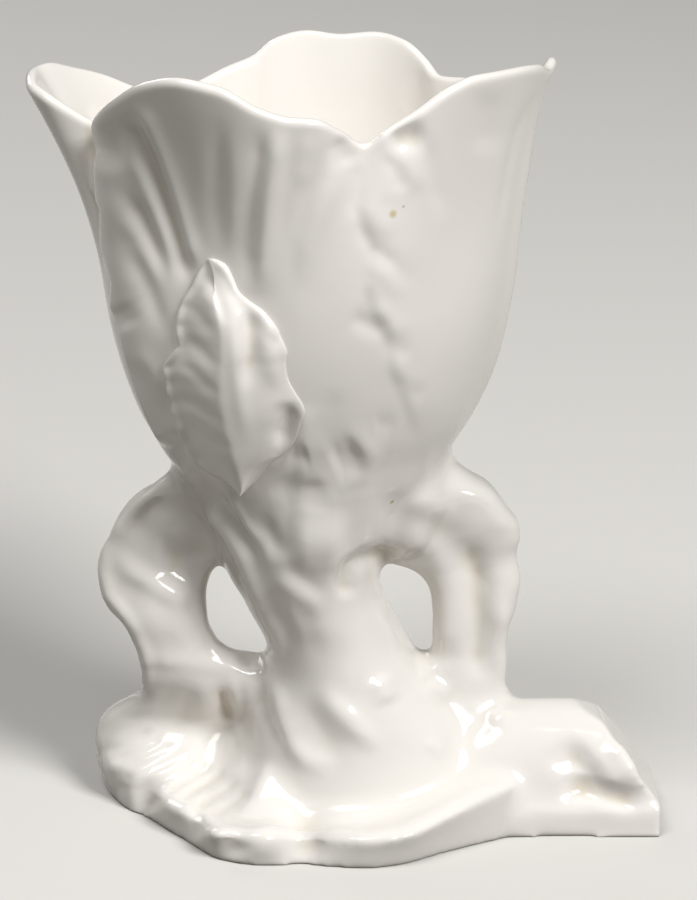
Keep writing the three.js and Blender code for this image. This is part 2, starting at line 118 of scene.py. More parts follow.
class Curve:
    """A smooth line through the rows of a table, read by the table's first column."""

    def __init__(self, rows: Table, period: float = 0.0) -> None:
        """Lays the line through the rows.

        Args:
            rows: Key, then values, sorted by key.
            period: Where a table goes round, the key at which it starts again.
        """
        if period:
            before = tuple((row[0] - period, *row[1:]) for row in rows[-2:])
            after = tuple((row[0] + period, *row[1:]) for row in rows[:2])
            rows = (*before, *rows, *after)
        self.period = period
        self.keys = [row[0] for row in rows]
        self.columns = list(zip(*rows))[1:]
        self.slopes = [self._slopes(column) for column in self.columns]

    def _slopes(self, values: Sequence[float]) -> list[float]:
        """Finds slopes that never overshoot the rows.

        Args:
            values: One column of the table.

        Returns:
            The slope at each row.
        """
        pairs = zip(values, values[1:], self.keys, self.keys[1:])
        steps = [(after - value) / (stop - start) for value, after, start, stop in pairs]
        inner = [2 * a * b / (a + b) if a * b > 0 else 0.0 for a, b in zip(steps, steps[1:])]
        return [steps[0], *inner, steps[-1]]

    def at(self, key: float) -> list[float]:
        """Reads the line.

        Args:
            key: Where to read it.

        Returns:
            The value of each column there.
        """
        if self.period:
            key %= self.period
        key = min(max(key, self.keys[0]), self.keys[-1])
        row = min(bisect_right(self.keys, key) - 1, len(self.keys) - 2)
        width = self.keys[row + 1] - self.keys[row]
        share = (key - self.keys[row]) / width
        ease = smoothstep(share)
        leave = share * (1 - share) ** 2 * width
        arrive = share * share * (1 - share) * width
        return [
            mix(column[row], column[row + 1], ease) + leave * slope[row] - arrive * slope[row + 1]
            for column, slope in zip(self.columns, self.slopes)
        ]


class Facing(Enum):
    """From where a stroke of the tool is drawn, and so what its points mean."""

    PHOTO = "pixels of the photograph"
    BACK = "millimetres, x and z, from behind"
    LEFT = "millimetres, y and z, from the left"
    RIGHT = "millimetres, y and z, from the right"

    @property
    def unit(self) -> float:
        """Millimetres that one unit of a drawing covers."""
        return CAMERA_DISTANCE / FOCAL if self is Facing.PHOTO else 1.0

    def page(self, point: Vector) -> Vector:
        """Finds where a point lies on the drawing, whose second axis runs down the page.

        Args:
            point: The point, in millimetres.

        Returns:
            Its place on the page, with a third number of 0.
        """
        if self is Facing.BACK:
            return Vector((point.x, -point.z, 0))
        if self in (Facing.LEFT, Facing.RIGHT):
            return Vector((point.y, -point.z, 0))
        sight = point - EYE
        depth = sight.dot(FORWARD)
        across = IMAGE_WIDTH / 2 + FOCAL * sight.x / depth
        down = IMAGE_HEIGHT / 2 - FOCAL * sight.dot(UPWARD) / depth
        return Vector((across, down, 0))

    def drawn(self, point: tuple[float, float]) -> Vector:
        """Returns a stroke's own point on the page."""
        across, other = point
        return Vector((across, other if self is Facing.PHOTO else -other, 0))

    def towards(self, point: Vector) -> Vector:
        """Finds the direction to the viewer.

        Args:
            point: The point that is looked at, in millimetres.

        Returns:
            The direction, of length 1.
        """
        if self is Facing.PHOTO:
            return (EYE - point).normalized()
        return Vector(PLAIN_VIEWS[self])


PLAIN_VIEWS = {Facing.BACK: (0, 1, 0), Facing.LEFT: (-1, 0, 0), Facing.RIGHT: (1, 0, 0)}


@dataclass(frozen=True)
class Stroke:
    """One pull of the modelling tool: a ridge, a groove, or an edge that overlaps.

    Its line is drawn on the page. Reach is how far it acts to its sides and rise how far it
    lifts the clay, or presses it in where that is negative, both in millimetres. Where side
    isn't 0 the stroke is an edge: it falls off steeply on one side, within the width edge.
    Fade is the share of the line over which each end runs out.
    """

    line: Line
    reach: float
    rise: float
    side: int = 0
    fade: float = 0.35
    edge: float = 1.3

    # Beyond this many times its reach a stroke moves next to nothing and is left out
    SPREAD = 2.4

    def parts(self, facing: Facing) -> list[tuple[Vector, Vector, float]]:
        """Returns the stroke's straight parts on the page, each with its length."""
        points = [facing.drawn(point) for point in self.line]
        return [(a, b, (b - a).length) for a, b in zip(points, points[1:])]

    def lift(self, place: Vector, parts: list[tuple[Vector, Vector, float]], unit: float) -> float:
        """Finds how far the stroke moves clay at a place on the page.

        Args:
            place: The place on the page.
            parts: The stroke's straight parts.
            unit: Millimetres that one unit of the page covers.

        Returns:
            Millimetres, negative where clay is pressed in.
        """
        total = sum(length for _, _, length in parts)
        best, along, turn = math.inf, 0.0, 0.0
        run = 0.0
        for start, end, length in parts:
            share = min(max(intersect_point_line(place, start, end)[1], 0.0), 1.0)
            off = place - start.lerp(end, share)
            if off.length < best:
                best = off.length
                along = (run + share * length) / total
                heading = end - start
                turn = heading.x * off.y - heading.y * off.x
            run += length
        gap = best * unit
        if self.side and turn * self.side < 0:
            height = 1 - smoothstep(gap / self.edge)
        else:
            height = math.exp(-((gap / self.reach) ** 2))
        ends = min(along, 1 - along) / self.fade if self.fade else 1.0
        return self.rise * height * smoothstep(ends)


# Width of the squares that points on a page are sorted into, in the page's own unit
CELL = 12.0
# How fast a stroke takes hold as the clay turns towards the viewer
FACING_EASE = 4.0


def cells_under(places: Sequence[float], margin: float) -> range:
    """Returns the squares that places along one axis of a page reach, with a margin."""
    return range(int((min(places) - margin) // CELL), int((max(places) + margin) // CELL) + 1)


def work(
    clay: BMesh,
    facing: Facing,
    strokes: Iterable[Stroke],
    reached: Callable[[BMVert], float] | None = None,
) -> None:
    """Works strokes into the side of the clay that faces the drawing.

    Args:
        clay: The clay, in millimetres.
        facing: From where the strokes are drawn.
        strokes: The strokes.
        reached: Gives the share of a stroke that reaches a point, where it isn't all of it.
    """
    clay.normal_update()
    cells: dict[tuple[int, int], list[tuple[BMVert, Vector, float]]] = defaultdict(list)
    for vert in clay.verts:
        opening = smoothstep(vert.normal.dot(facing.towards(vert.co)) * FACING_EASE)
        if reached:
            opening *= reached(vert)
        if opening > 0:
            place = facing.page(vert.co)
            cell = (int(place.x // CELL), int(place.y // CELL))
            cells[cell].append((vert, place, opening))
    lifts: dict[BMVert, float] = defaultdict(float)
    for stroke in strokes:
        parts = stroke.parts(facing)
        margin = max(stroke.reach * stroke.SPREAD, stroke.edge) / facing.unit
        points = [point for start, end, _ in parts for point in (start, end)]
        columns = cells_under([point.x for point in points], margin)
        rows = cells_under([point.y for point in points], margin)
        for cell in product(columns, rows):
            for vert, place, opening in cells.get(cell, ()):
                lifts[vert] += opening * stroke.lift(place, parts, facing.unit)
    for vert, lift in lifts.items():
        vert.co += vert.normal * lift


# The front petals, in pixels of the photograph. An edge's side is +1 where the clay left of a
# line that runs down the page stands up, -1 where the clay right of it does.
LEFT_PETAL_STROKES = (
    # Its edge over the petal behind, and the dent in it
    Stroke(
        (
            (92, 147), (93, 176), (98, 192), (107, 208), (107, 245), (113, 263), (117.5, 281),
            (116, 304), (122, 320), (135, 370), (150, 410), (170, 450),
        ),
        6.0, 1.9, -1, 0.06,
    ),
    Stroke(((122, 302), (129, 316), (136, 328)), 2.2, -0.9),
    # The pocket under its lip and the pleats that fan out from there
    Stroke(((106, 118), (112, 140), (113, 175)), 4.0, -1.3),
    Stroke(
        (
            (124, 110), (137, 135), (151, 163), (161, 190), (170, 217), (179, 247), (186, 272),
            (190, 290),
        ),
        2.3, -1.4, fade=0.15,
    ),
    Stroke(
        ((133, 104), (147, 123), (158, 150), (169, 181), (179, 211), (188, 241), (194, 272)),
        2.2, 0.9, fade=0.15,
    ),
    Stroke(
        ((112, 138), (126, 152), (141, 176), (152, 201), (162, 227), (171, 254), (178, 285)),
        1.8, 0.6,
    ),
    Stroke(((118, 180), (129, 197), (142, 216), (153, 241), (161, 262), (168, 284)), 1.8, -0.9),
    Stroke(((124, 240), (140, 266), (151, 292), (160, 318), (172, 344)), 1.9, -0.6),
    Stroke(((113, 202), (126, 218), (141, 242), (152, 268), (163, 296)), 1.8, 0.4),
    Stroke(((128, 348), (146, 377), (165, 408), (182, 440)), 1.8, -0.6),
    Stroke(((137, 342), (156, 370), (172, 398)), 1.8, 0.45),
    # The long swells down its middle and the ridge that ends its shaded side
    Stroke(((219, 112), (219, 160), (219, 210), (221, 262)), 2.2, -0.45),
    Stroke(((233, 125), (233, 165), (233, 210), (231, 256)), 2.2, 0.35),
    Stroke(((200, 120), (201, 165), (203, 215), (208, 250)), 2.4, 0.3),
    Stroke(((264, 124), (258, 165), (253, 208), (250, 250), (254, 292)), 2.8, -1.0, fade=0.2),
    Stroke(((281, 122), (275, 160), (268, 200), (262, 245), (258, 300)), 3.2, 1.1, fade=0.2),
    Stroke(((293, 130), (290, 165), (284, 200), (276, 255)), 2.4, -0.35),
    Stroke(((311, 128), (307, 152), (299, 195)), 2.6, 0.35),
    Stroke(((321, 134), (315, 178), (304, 211), (294, 248), (286, 300)), 2.8, -0.5),
    Stroke(((347, 150), (333, 185), (320, 214), (307, 243), (298, 292)), 3.2, 0.5),
    Stroke(((336, 136), (343, 148), (351, 168)), 3.0, -0.8),
    Stroke(((356, 150), (357, 180), (355, 224)), 2.8, -0.4),
    Stroke(((336, 385), (330, 418), (318, 452)), 3.0, -0.3),
)

RIGHT_PETAL_STROKES = (
    # Its feathered edge: a soft step with barbs that slant out of it
    Stroke(
        (
            (366, 150), (370, 180), (366, 205), (374, 228), (384, 250), (375, 285), (382, 310),
            (396, 334), (400, 368), (412, 396), (428, 446),
        ),
        9.0, 0.7, -1, 0.15, 3.6,
    ),
    Stroke(((362, 190), (372, 212), (394, 240)), 2.6, 0.3),
    Stroke(((364, 256), (384, 274), (404, 300)), 2.4, 0.25),
    Stroke(((372, 298), (388, 318), (406, 340)), 2.4, 0.32),
    Stroke(((388, 350), (402, 372), (418, 396)), 2.4, 0.25),
    Stroke(((353, 220), (368, 237), (382, 256), (398, 274)), 2.2, -0.32),
    Stroke(((371, 244), (392, 262), (414, 288)), 2.0, -0.22),
    Stroke(((348, 314), (368, 325), (392, 334)), 2.4, -0.5),
    Stroke(((378, 338), (396, 347), (412, 358)), 2.2, -0.3),
    Stroke(((394, 376), (410, 388), (426, 398)), 2.0, -0.25),
    Stroke(((372, 426), (384, 424), (398, 429)), 2.4, -0.35),
    # The pockets under its lip
    Stroke(((386, 146), (408, 138), (430, 134)), 3.2, -1.6),
    Stroke(((424, 126), (430, 152), (436, 184), (442, 224)), 2.2, -0.45),
    Stroke(((390, 138), (408, 164), (422, 196)), 2.3, 0.45),
    Stroke(((384, 152), (395, 170), (406, 194)), 2.0, -0.35),
    Stroke(((490, 84), (487, 112), (486, 160)), 3.6, -0.6),
    Stroke(((545, 84), (527, 108), (517, 132), (508, 170), (502, 206), (497, 245)), 1.2, -0.4),
)

# The curled clay between cup and trunk, and the trunk's own folds
CURL_STROKES = (
    Stroke(((286, 396), (286, 416), (283, 438), (270, 466)), 2.8, -1.1),
    Stroke(((303, 400), (304, 430), (298, 462)), 2.8, 0.5),
    Stroke(((288, 451), (298, 456), (310, 452)), 2.6, -0.8),
    Stroke(((328, 463), (345, 457), (362, 447)), 3.4, -1.2),
    Stroke(((326, 474), (345, 484), (363, 475), (371, 455), (360, 437), (340, 432)), 2.4, 0.6),
    Stroke(((290, 470), (312, 473), (334, 477)), 3.0, 0.6),
    Stroke(((276, 476), (289, 494), (303, 508)), 3.2, -0.9),
    Stroke(((312, 478), (314, 495), (312, 512)), 3.0, -0.8),
    Stroke(((376, 474), (393, 507), (408, 519), (439, 531), (474, 548)), 4.2, -1.2),
    Stroke(
        ((350, 600), (346, 584), (351, 568), (364, 558), (384, 555), (404, 560)),
        2.1, -1.9, fade=0.15,
    ),
    Stroke(((284, 540), (316, 540), (352, 544)), 6.5, 2.0),
    Stroke(((266, 570), (288, 585), (310, 600), (324, 622)), 2.6, 0.8),
    Stroke(((282, 559), (303, 579), (325, 600)), 2.6, -0.7),
    Stroke(((298, 594), (308, 632), (322, 664)), 3.0, -0.5),
    Stroke(((264, 588), (270, 606), (284, 630), (296, 660)), 2.6, -1.0),
)

# The fold that runs from the cup's left corner beside the hand hole down to the roots
FOLD_STROKES = (
    Stroke(
        (
            (180, 460), (192, 490), (205, 511), (219, 522), (232, 539), (241, 556), (251, 581),
            (263, 611), (276, 636), (284, 660),
        ),
        1.8, 1.4, fade=0.08,
    ),
    Stroke(((198, 488), (211, 502), (226, 514)), 2.4, -1.1),
    Stroke(((211, 483), (226, 507), (241, 534), (253, 557), (264, 586)), 2.0, -1.3),
    Stroke(((218, 484), (238, 511), (259, 549)), 1.2, 0.8),
    Stroke(((254, 510), (269, 534), (284, 562)), 2.4, -1.0),
    Stroke(((184, 443), (196, 463), (224, 480)), 1.8, 0.8),
)

LEFT_HANDLE_STROKES = (
    # The rolled margin and the hollow inside it, crossed by a low swell
    Stroke(
        (
            (176, 466), (152, 491), (128, 515), (116, 534), (105, 554), (103, 572), (109, 596),
            (126, 616), (136, 631), (145, 652), (148, 674), (145, 692),
        ),
        1.5, 1.0, fade=0.05,
    ),
    Stroke(((126, 540), (146, 515), (174, 490)), 5.0, -2.2),
    Stroke(((156, 562), (182, 558), (214, 546)), 4.6, -1.8),
    Stroke(((142, 512), (165, 525), (190, 545), (207, 556)), 2.6, 0.8),
    # The swelling under the hollow
    Stroke(((110, 548), (133, 572), (152, 583), (178, 596), (203, 590)), 2.8, 1.6),
    Stroke(((128, 598), (160, 614), (198, 612)), 6.0, 1.4),
    # The rim of the hand hole and the pocket under it
    Stroke(
        ((212, 560), (200, 583), (199, 602), (204, 630), (215, 650), (234, 657), (258, 650)),
        1.4, 0.6, fade=0.1,
    ),
    Stroke(((234, 662), (252, 665), (272, 659)), 2.4, -1.1),
)

RIGHT_HANDLE_STROKES = (
    # The brow over the hand hole, its rim, and the folds down the outside
    Stroke(
        ((386, 552), (415, 541), (433, 549), (444, 570), (448, 600), (449, 660)),
        3.4, 1.5, fade=0.2,
    ),
    Stroke(((386, 560), (374, 590), (382, 620), (404, 654)), 2.0, 0.8),
    Stroke(((462, 535), (476, 575), (480, 625), (478, 686)), 3.6, -2.5, fade=0.2),
    Stroke(((472, 568), (483, 580), (496, 589)), 2.0, -0.5),
    Stroke(((496, 586), (502, 640), (503, 700)), 2.6, 1.0),
    Stroke(((450, 466), (476, 480), (494, 507), (513, 536)), 3.2, 0.8),
)

# The roots that run out over the base, and the pads and pits between them
ROOT_STROKES = (
    Stroke(((272, 660), (276, 690), (278, 718), (287, 740), (306, 760), (340, 775)), 2.4, 1.3),
    Stroke(((296, 686), (306, 715), (324, 740), (354, 762)), 4.0, -1.4),
    Stroke(((314, 680), (336, 708), (355, 727), (388, 756)), 2.8, 1.1),
    Stroke(((260, 676), (266, 705), (276, 732), (292, 760)), 2.2, -1.3),
    Stroke(((246, 660), (250, 695), (264, 742)), 2.0, 0.9),
    Stroke(((221, 686), (224, 703), (229, 724)), 1.5, -1.9),
    Stroke(((228, 664), (236, 700), (246, 756)), 1.8, 0.9),
    Stroke(((205, 676), (206, 705), (211, 734)), 2.8, 0.7),
    Stroke(((376, 674), (382, 688), (390, 706)), 3.0, 1.2),
    Stroke(((425, 681), (437, 689), (450, 697)), 2.0, 0.9),
    Stroke(((150, 688), (172, 705), (200, 714)), 5.0, -0.8),
    Stroke(((486, 722), (503, 716), (512, 704)), 1.9, 1.1),
    Stroke(((425, 738), (435, 748), (445, 757)), 1.6, 0.5),
)

# Veins pressed in the base's left lobe, and the dents between the lobes' sides
LOBE_VEINS = (
    ((99, 754), (122, 745), (156, 729)),
    ((108, 763), (132, 752), (168, 735)),
    ((119, 771), (144, 759), (180, 742)),
    ((131, 781), (156, 768), (192, 749)),
    ((145, 789), (170, 776), (204, 757)),
    ((160, 795), (184, 781), (217, 762)),
    ((175, 802), (198, 788), (230, 769)),
    ((190, 811), (212, 797), (242, 779)),
)
LIP_STROKES = (
    *(Stroke(vein, 1.15, -0.6, fade=0.25) for vein in LOBE_VEINS),
    Stroke(((206, 820), (226, 807), (252, 791)), 1.15, -0.5, fade=0.25),
    Stroke(((118, 764), (122, 779), (127, 796)), 2.4, -0.8),
    Stroke(((138, 776), (144, 793), (152, 814)), 4.0, -1.7),
    Stroke(((188, 802), (198, 818), (208, 836)), 3.4, -1.2),
    Stroke(((226, 828), (232, 845), (238, 862)), 3.6, -1.2),
    Stroke(((298, 806), (306, 836), (314, 868)), 4.6, -2.0),
    Stroke(((262, 818), (263, 840), (264, 864)), 4.2, 0.7),
)

BRANCH_STROKES = (
    # A valley runs down to the ledge, and the sawn end swells beyond it
    Stroke(((556, 736), (572, 756), (590, 778), (606, 796)), 6.0, -2.6, 1, 0.4, 5.5),
    Stroke(((556, 790), (584, 793), (614, 799), (646, 807)), 1.8, -1.7, 1, 0.3, 5.0),
    Stroke(((612, 738), (628, 758), (642, 778)), 3.4, 1.2),
)

LEAF_STROKES = (
    # The bead along its left margin, then its veins and folds
    Stroke(
        (
            (206, 262), (196, 284), (183, 306), (179, 325), (181, 344), (176, 354), (166, 366),
            (168, 384), (174, 410), (182, 434), (196, 458), (220, 477),
        ),
        0.8, 0.9, fade=0.06,
    ),
    Stroke(((201, 264), (212, 285), (220, 305), (227, 328)), 1.8, -1.1),
    Stroke(((186, 300), (198, 316), (214, 336)), 1.5, -0.4),
    Stroke(((182, 328), (198, 348), (219, 372)), 1.4, -0.5),
    Stroke(((176, 356), (196, 376), (221, 400)), 1.4, -0.45),
    Stroke(((172, 386), (194, 404), (226, 428)), 1.4, -0.45),
    Stroke(((180, 418), (205, 436), (236, 454)), 1.3, -0.4),
    Stroke(((247, 300), (251, 330), (251, 358), (246, 392)), 2.0, -1.5),
    Stroke(((228, 290), (232, 330), (236, 365), (241, 405), (248, 452)), 1.9, 0.7),
    Stroke(((288, 400), (289, 420), (278, 450)), 2.4, -1.3),
    Stroke(((258, 316), (270, 350), (275, 396)), 2.4, 0.7),
    Stroke(((214, 256), (228, 272), (240, 292), (262, 316), (280, 342)), 1.7, 0.8, fade=0.15),
)

FRONT_STROKES = (
    *LEFT_PETAL_STROKES,
    *RIGHT_PETAL_STROKES,
    *CURL_STROKES,
    *FOLD_STROKES,
    *LEFT_HANDLE_STROKES,
    *RIGHT_HANDLE_STROKES,
    *ROOT_STROKES,
    *LIP_STROKES,
    *BRANCH_STROKES,
)

# What the photograph doesn't show follows the forms of the front, in millimetres.
BACK_STROKES = (
    Stroke(((34, 185), (33, 165), (31, 150), (26, 128), (17, 97)), 6.0, 1.8, 1, 0.16),
    Stroke(((-36, 180), (-35, 160), (-32, 140), (-26, 120), (-16, 95)), 6.0, 1.8, -1, 0.16),
    Stroke(((-12, 186), (-10, 160), (-7, 130), (-4, 106)), 1.9, -1.1),
    Stroke(((13, 187), (11, 160), (7, 130), (4, 106)), 1.9, -1.1),
    Stroke(((-23, 180), (-20, 155), (-15, 128), (-9, 108)), 1.6, -0.8),
    Stroke(((24, 182), (21, 155), (16, 128), (10, 108)), 1.6, -0.8),
    Stroke(((0, 180), (1, 155), (1, 130), (0, 108)), 2.2, 0.8),
    Stroke(((-14, 84), (-6, 76), (4, 66), (12, 50)), 2.6, -1.5),
    Stroke(((-8, 92), (2, 80), (8, 66), (16, 50)), 2.4, 1.3),
    Stroke(((14, 88), (8, 78), (-2, 66), (-4, 48)), 2.4, -1.2),
    Stroke(((-46, 72), (-38, 64), (-28, 70)), 5.0, -2.2),
    Stroke(((-50, 62), (-45, 76), (-35, 87)), 1.4, 1.0),
    Stroke(((-34, 52), (-33, 40), (-33, 30)), 3.2, -1.6),
    Stroke(((46, 74), (40, 66), (32, 72)), 5.0, -2.2),
    Stroke(((50, 64), (48, 78), (40, 88)), 1.4, 1.0),
    Stroke(((41, 54), (42, 42), (42, 32)), 3.0, -1.8),
    Stroke(((58, 26), (70, 20), (80, 12)), 3.0, -1.4),
)
LEFT_STROKES = (
    Stroke(((-2, 188), (-3, 165), (-4, 135), (-3, 106)), 2.4, -1.2),
    Stroke(((13, 187), (11, 163), (8, 133), (5, 106)), 1.9, -1.0),
    Stroke(((24, 182), (22, 160), (17, 130), (11, 104)), 1.8, -0.9),
    Stroke(((6, 186), (5, 160), (3, 130), (2, 106)), 2.2, 0.8),
)
RIGHT_STROKES = (
    Stroke(((-8, 194), (-9, 170), (-9, 140), (-6, 96)), 5.0, 1.6, 1, 0.3),
    Stroke(((4, 190), (3, 165), (2, 135), (1, 106)), 2.2, -1.1),
    Stroke(((18, 184), (16, 160), (12, 130), (8, 106)), 1.9, -1.0),
    Stroke(((30, 180), (28, 158), (22, 130), (14, 104)), 1.8, -0.8),
    Stroke(((11, 186), (10, 160), (7, 130), (4, 106)), 2.0, 0.8),
)
HIDDEN_STROKES = (
    (Facing.BACK, BACK_STROKES),
    (Facing.LEFT, LEFT_STROKES),
    (Facing.RIGHT, RIGHT_STROKES),
)


def work_all_round(clay: BMesh, reached: Callable[[BMVert], float] | None = None) -> None:
    """Works every stroke of the vase into the clay.

    Args:
        clay: The clay, in millimetres.
        reached: Gives the share of a stroke that reaches a point, where it isn't all of it.
    """
    work(clay, Facing.PHOTO, FRONT_STROKES, reached)
    for facing, strokes in HIDDEN_STROKES:
        work(clay, facing, strokes, reached)


def sheet(columns: int, rows: int, place: Callable[[float, float], Vector]) -> BMesh:
    """Lays a sheet of clay, welds the edges that meet and closes what is left open.

    Args:
        columns: Cells across.
        rows: Cells along.
        place: Where the sheet's point goes, from its two shares.

    Returns:
        A closed body.
    """
    clay = bmesh.new()
    bmesh.ops.create_grid(clay, x_segments=columns, y_segments=rows, size=0.5)
    for vert in clay.verts:
        vert.co = place(vert.co.x + 0.5, vert.co.y + 0.5)
    bmesh.ops.remove_doubles(clay, verts=clay.verts, dist=WELD)
    bmesh.ops.holes_fill(clay, edges=[edge for edge in clay.edges if edge.is_boundary])
    bmesh.ops.recalc_face_normals(clay, faces=clay.faces)
    return clay


def polar(radius: float, angle: float, height: float) -> Vector:
    """Returns a point from its radius, its angle in degrees and its height."""
    turn = math.radians(angle)
    return Vector((radius * math.cos(turn), radius * math.sin(turn), height))


def joined(blanks: Iterable[BMesh], grain: float) -> BMesh:
    """Presses blanks together and gives them one skin.

    Args:
        blanks: Closed bodies that run into each other. They are used up.
        grain: Edge length of the skin.

    Returns:
        The joined clay.
    """
    mesh = bpy.data.meshes.new("blank")
    lump = bmesh.new()
    for blank in blanks:
        blank.to_mesh(mesh)
        lump.from_mesh(mesh)
        blank.free()
    bpy.data.meshes.remove(mesh)
    holder = held(lump, "blanks")
    skin = holder.modifiers.new("skin", "REMESH")
    skin.mode = "VOXEL"
    skin.voxel_size = grain
    clay = taken(holder)
    discard(holder)
    return clay


def held(clay: BMesh, name: str) -> bpy.types.Object:
    """Makes an object of clay.

    Args:
        clay: The clay. It is used up.
        name: The object's name and its mesh's.

    Returns:
        The object, which is in the scene.
    """
    mesh = bpy.data.meshes.new(name)
    clay.to_mesh(mesh)
    clay.free()
    holder = bpy.data.objects.new(name, mesh)
    bpy.context.scene.collection.objects.link(holder)
    return holder


def taken(holder: bpy.types.Object) -> BMesh:
    """Takes the clay out of an object.

    Args:
        holder: The object, which stays.

    Returns:
        Its clay with its modifiers applied.
    """
    ready = holder.evaluated_get(bpy.context.evaluated_depsgraph_get())
    clay = bmesh.new()
    clay.from_mesh(ready.to_mesh())
    ready.to_mesh_clear()
    return clay


def discard(holder: bpy.types.Object) -> None:
    """Removes an object and its mesh."""
    mesh = holder.data
    bpy.data.objects.remove(holder)
    bpy.data.meshes.remove(mesh)


def rub(clay: BMesh, verts: Sequence[BMVert], passes: int) -> None:
    """Rubs the clay smooth.

    Args:
        clay: The clay.
        verts: The points that are rubbed.
        passes: How often.
    """
    for _ in range(passes):
        bmesh.ops.smooth_vert(
            clay, verts=verts, factor=0.5, use_axis_x=True, use_axis_y=True, use_axis_z=True
        )


def hollowness(vert: BMVert) -> float:
    """Returns how far the points round this one stand over it."""
    around = [edge.other_vert(vert).co for edge in vert.link_edges]
    return (sum(around, Vector()) / len(around) - vert.co).dot(vert.normal)


def fill_creases(
    clay: BMesh, among: Iterable[BMVert], rounds: int, depth: float, passes: int = 6
) -> None:
    """Fills sharp creases with slip, so that one form runs into the next.

    Args:
        clay: The clay.
        among: The points that may be filled over.
        rounds: How often slip is wiped on.
        depth: The hollowness that is left alone.
        passes: How often each layer is rubbed.
    """
    allowed = set(among)
    looked_at = set(allowed)
    for _ in range(rounds):
        clay.normal_update()
        hollows = [vert for vert in looked_at if hollowness(vert) > depth]
        if not hollows:
            return
        rub(clay, hollows, passes)
        looked_at = set(hollows)
        looked_at.update(edge.other_vert(vert) for vert in hollows for edge in vert.link_edges)
        looked_at &= allowed


def mark_hollows(clay: BMesh, passes: int = 24, full: float = 0.8) -> None:
    """Marks how deep each point lies in a hollow, where the colour turns darker and warmer:
    partly glaze that pools there, partly painted shade.

    Args:
        clay: The clay.
        passes: How often a copy is rubbed to level its hollows.
        full: Depth at which a hollow counts as full.
    """
    level = clay.copy()
    rub(level, level.verts[:], passes)
    clay.normal_update()
    layer = clay.verts.layers.float.new(HOLLOW_LAYER)
    for vert, rubbed in zip(clay.verts, level.verts):
        vert[layer] = smoothstep((rubbed.co - vert.co).dot(vert.normal) / full)
    level.free()


def keep_skin(clay: BMesh) -> None:
    """Keeps each point's normal, so that parted pieces still shade as one skin.

    Args:
        clay: The clay, before it is parted.
    """
    clay.normal_update()
    layer = clay.verts.layers.float_vector.new(SKIN_LAYER)
    for vert in clay.verts:
        vert[layer] = vert.normal


def skin_normals(clay: BMesh) -> list[Vector]:
    """Reads the normals that were kept before the parting.

    Args:
        clay: A piece's clay.

    Returns:
        For each face corner its kept normal, or a zero one where a cut left a new face. The
        list is empty where no normals were kept.
    """
    layer = clay.verts.layers.float_vector.get(SKIN_LAYER)
    if layer is None:
        return []
    none = Vector()
    return [
        loop.vert[layer].normalized() if loop.vert[layer].dot(face.normal) > SAME_SKIN else none
        for face in clay.faces
        for loop in face.loops
    ]


def cut_away(clay: BMesh, point: Vector, normal: Vector) -> None:
    """Cuts away the side that the normal points to and leaves a flat luting face.

    Args:
        clay: The clay.
        point: A point of the cutting plane.
        normal: The plane's normal.
    """
    everything = clay.verts[:] + clay.edges[:] + clay.faces[:]
    found = bmesh.ops.bisect_plane(
        clay, geom=everything, plane_co=point, plane_no=normal, clear_outer=True, dist=WELD
    )
    rim = [item for item in found["geom_cut"] if isinstance(item, bmesh.types.BMEdge)]
    bmesh.ops.triangle_fill(clay, edges=rim, use_beauty=True, normal=normal)
    for edge in rim:
        edge.smooth = False


def bored(clay: BMesh, bore: BMesh) -> BMesh:
    """Takes a bore out of the clay.

    Args:
        clay: The clay. It is used up.
        bore: The bore's shape. It is used up.

    Returns:
        What is left of the clay.
    """
    holder, drill = held(clay, "clay"), held(bore, "bore")
    cut = holder.modifiers.new("bore", "BOOLEAN")
    cut.operation = "DIFFERENCE"
    cut.solver = "EXACT"
    cut.object = drill
    result = taken(holder)
    discard(holder)
    discard(drill)
    return result


def linear(code: str) -> tuple[float, float, float, float]:
    """Turns an sRGB colour to the linear one that a shader takes.

    Args:
        code: The colour as # and six hex digits.

    Returns:
        Red, green, blue and an alpha of 1.
    """
    parts = [int(code[i : i + 2], 16) / 255 for i in (1, 3, 5)]
    levels = [p / 12.92 if p <= 0.04045 else ((p + 0.055) / 1.055) ** 2.4 for p in parts]
    return (*levels, 1.0)


def add_node(
    tree: bpy.types.NodeTree,
    kind: str,
    settings: dict[str, object] | None = None,
    inputs: dict[str, object] | None = None,
) -> bpy.types.Node:
    """Adds a node with its settings, its socket values and its links.

    Args:
        tree: The material's or world's node tree.
        kind: The node's type name.
        settings: Attributes of the node.
        inputs: For each socket a value, or another node's output to link.

    Returns:
        The node.
    """
    node = tree.nodes.new(kind)
    for name, value in (settings or {}).items():
        setattr(node, name, value)
    for name, value in (inputs or {}).items():
        socket = node.inputs[name]
        if isinstance(value, bpy.types.NodeSocket):
            tree.links.new(value, socket)
        else:
            socket.default_value = value
    return node


@dataclass(frozen=True)
class Speck:
    """An iron speck in the glaze: a pixel of the photograph, its radius in mm, its colour."""

    across: float
    down: float
    size: float
    colour: str


SPECKS = (
    Speck(393, 214, 1.3, "#CFC29F"),
    Speck(403.5, 206.5, 0.45, "#C2B498"),
    Speck(392, 502, 0.9, "#BFAB84"),
)


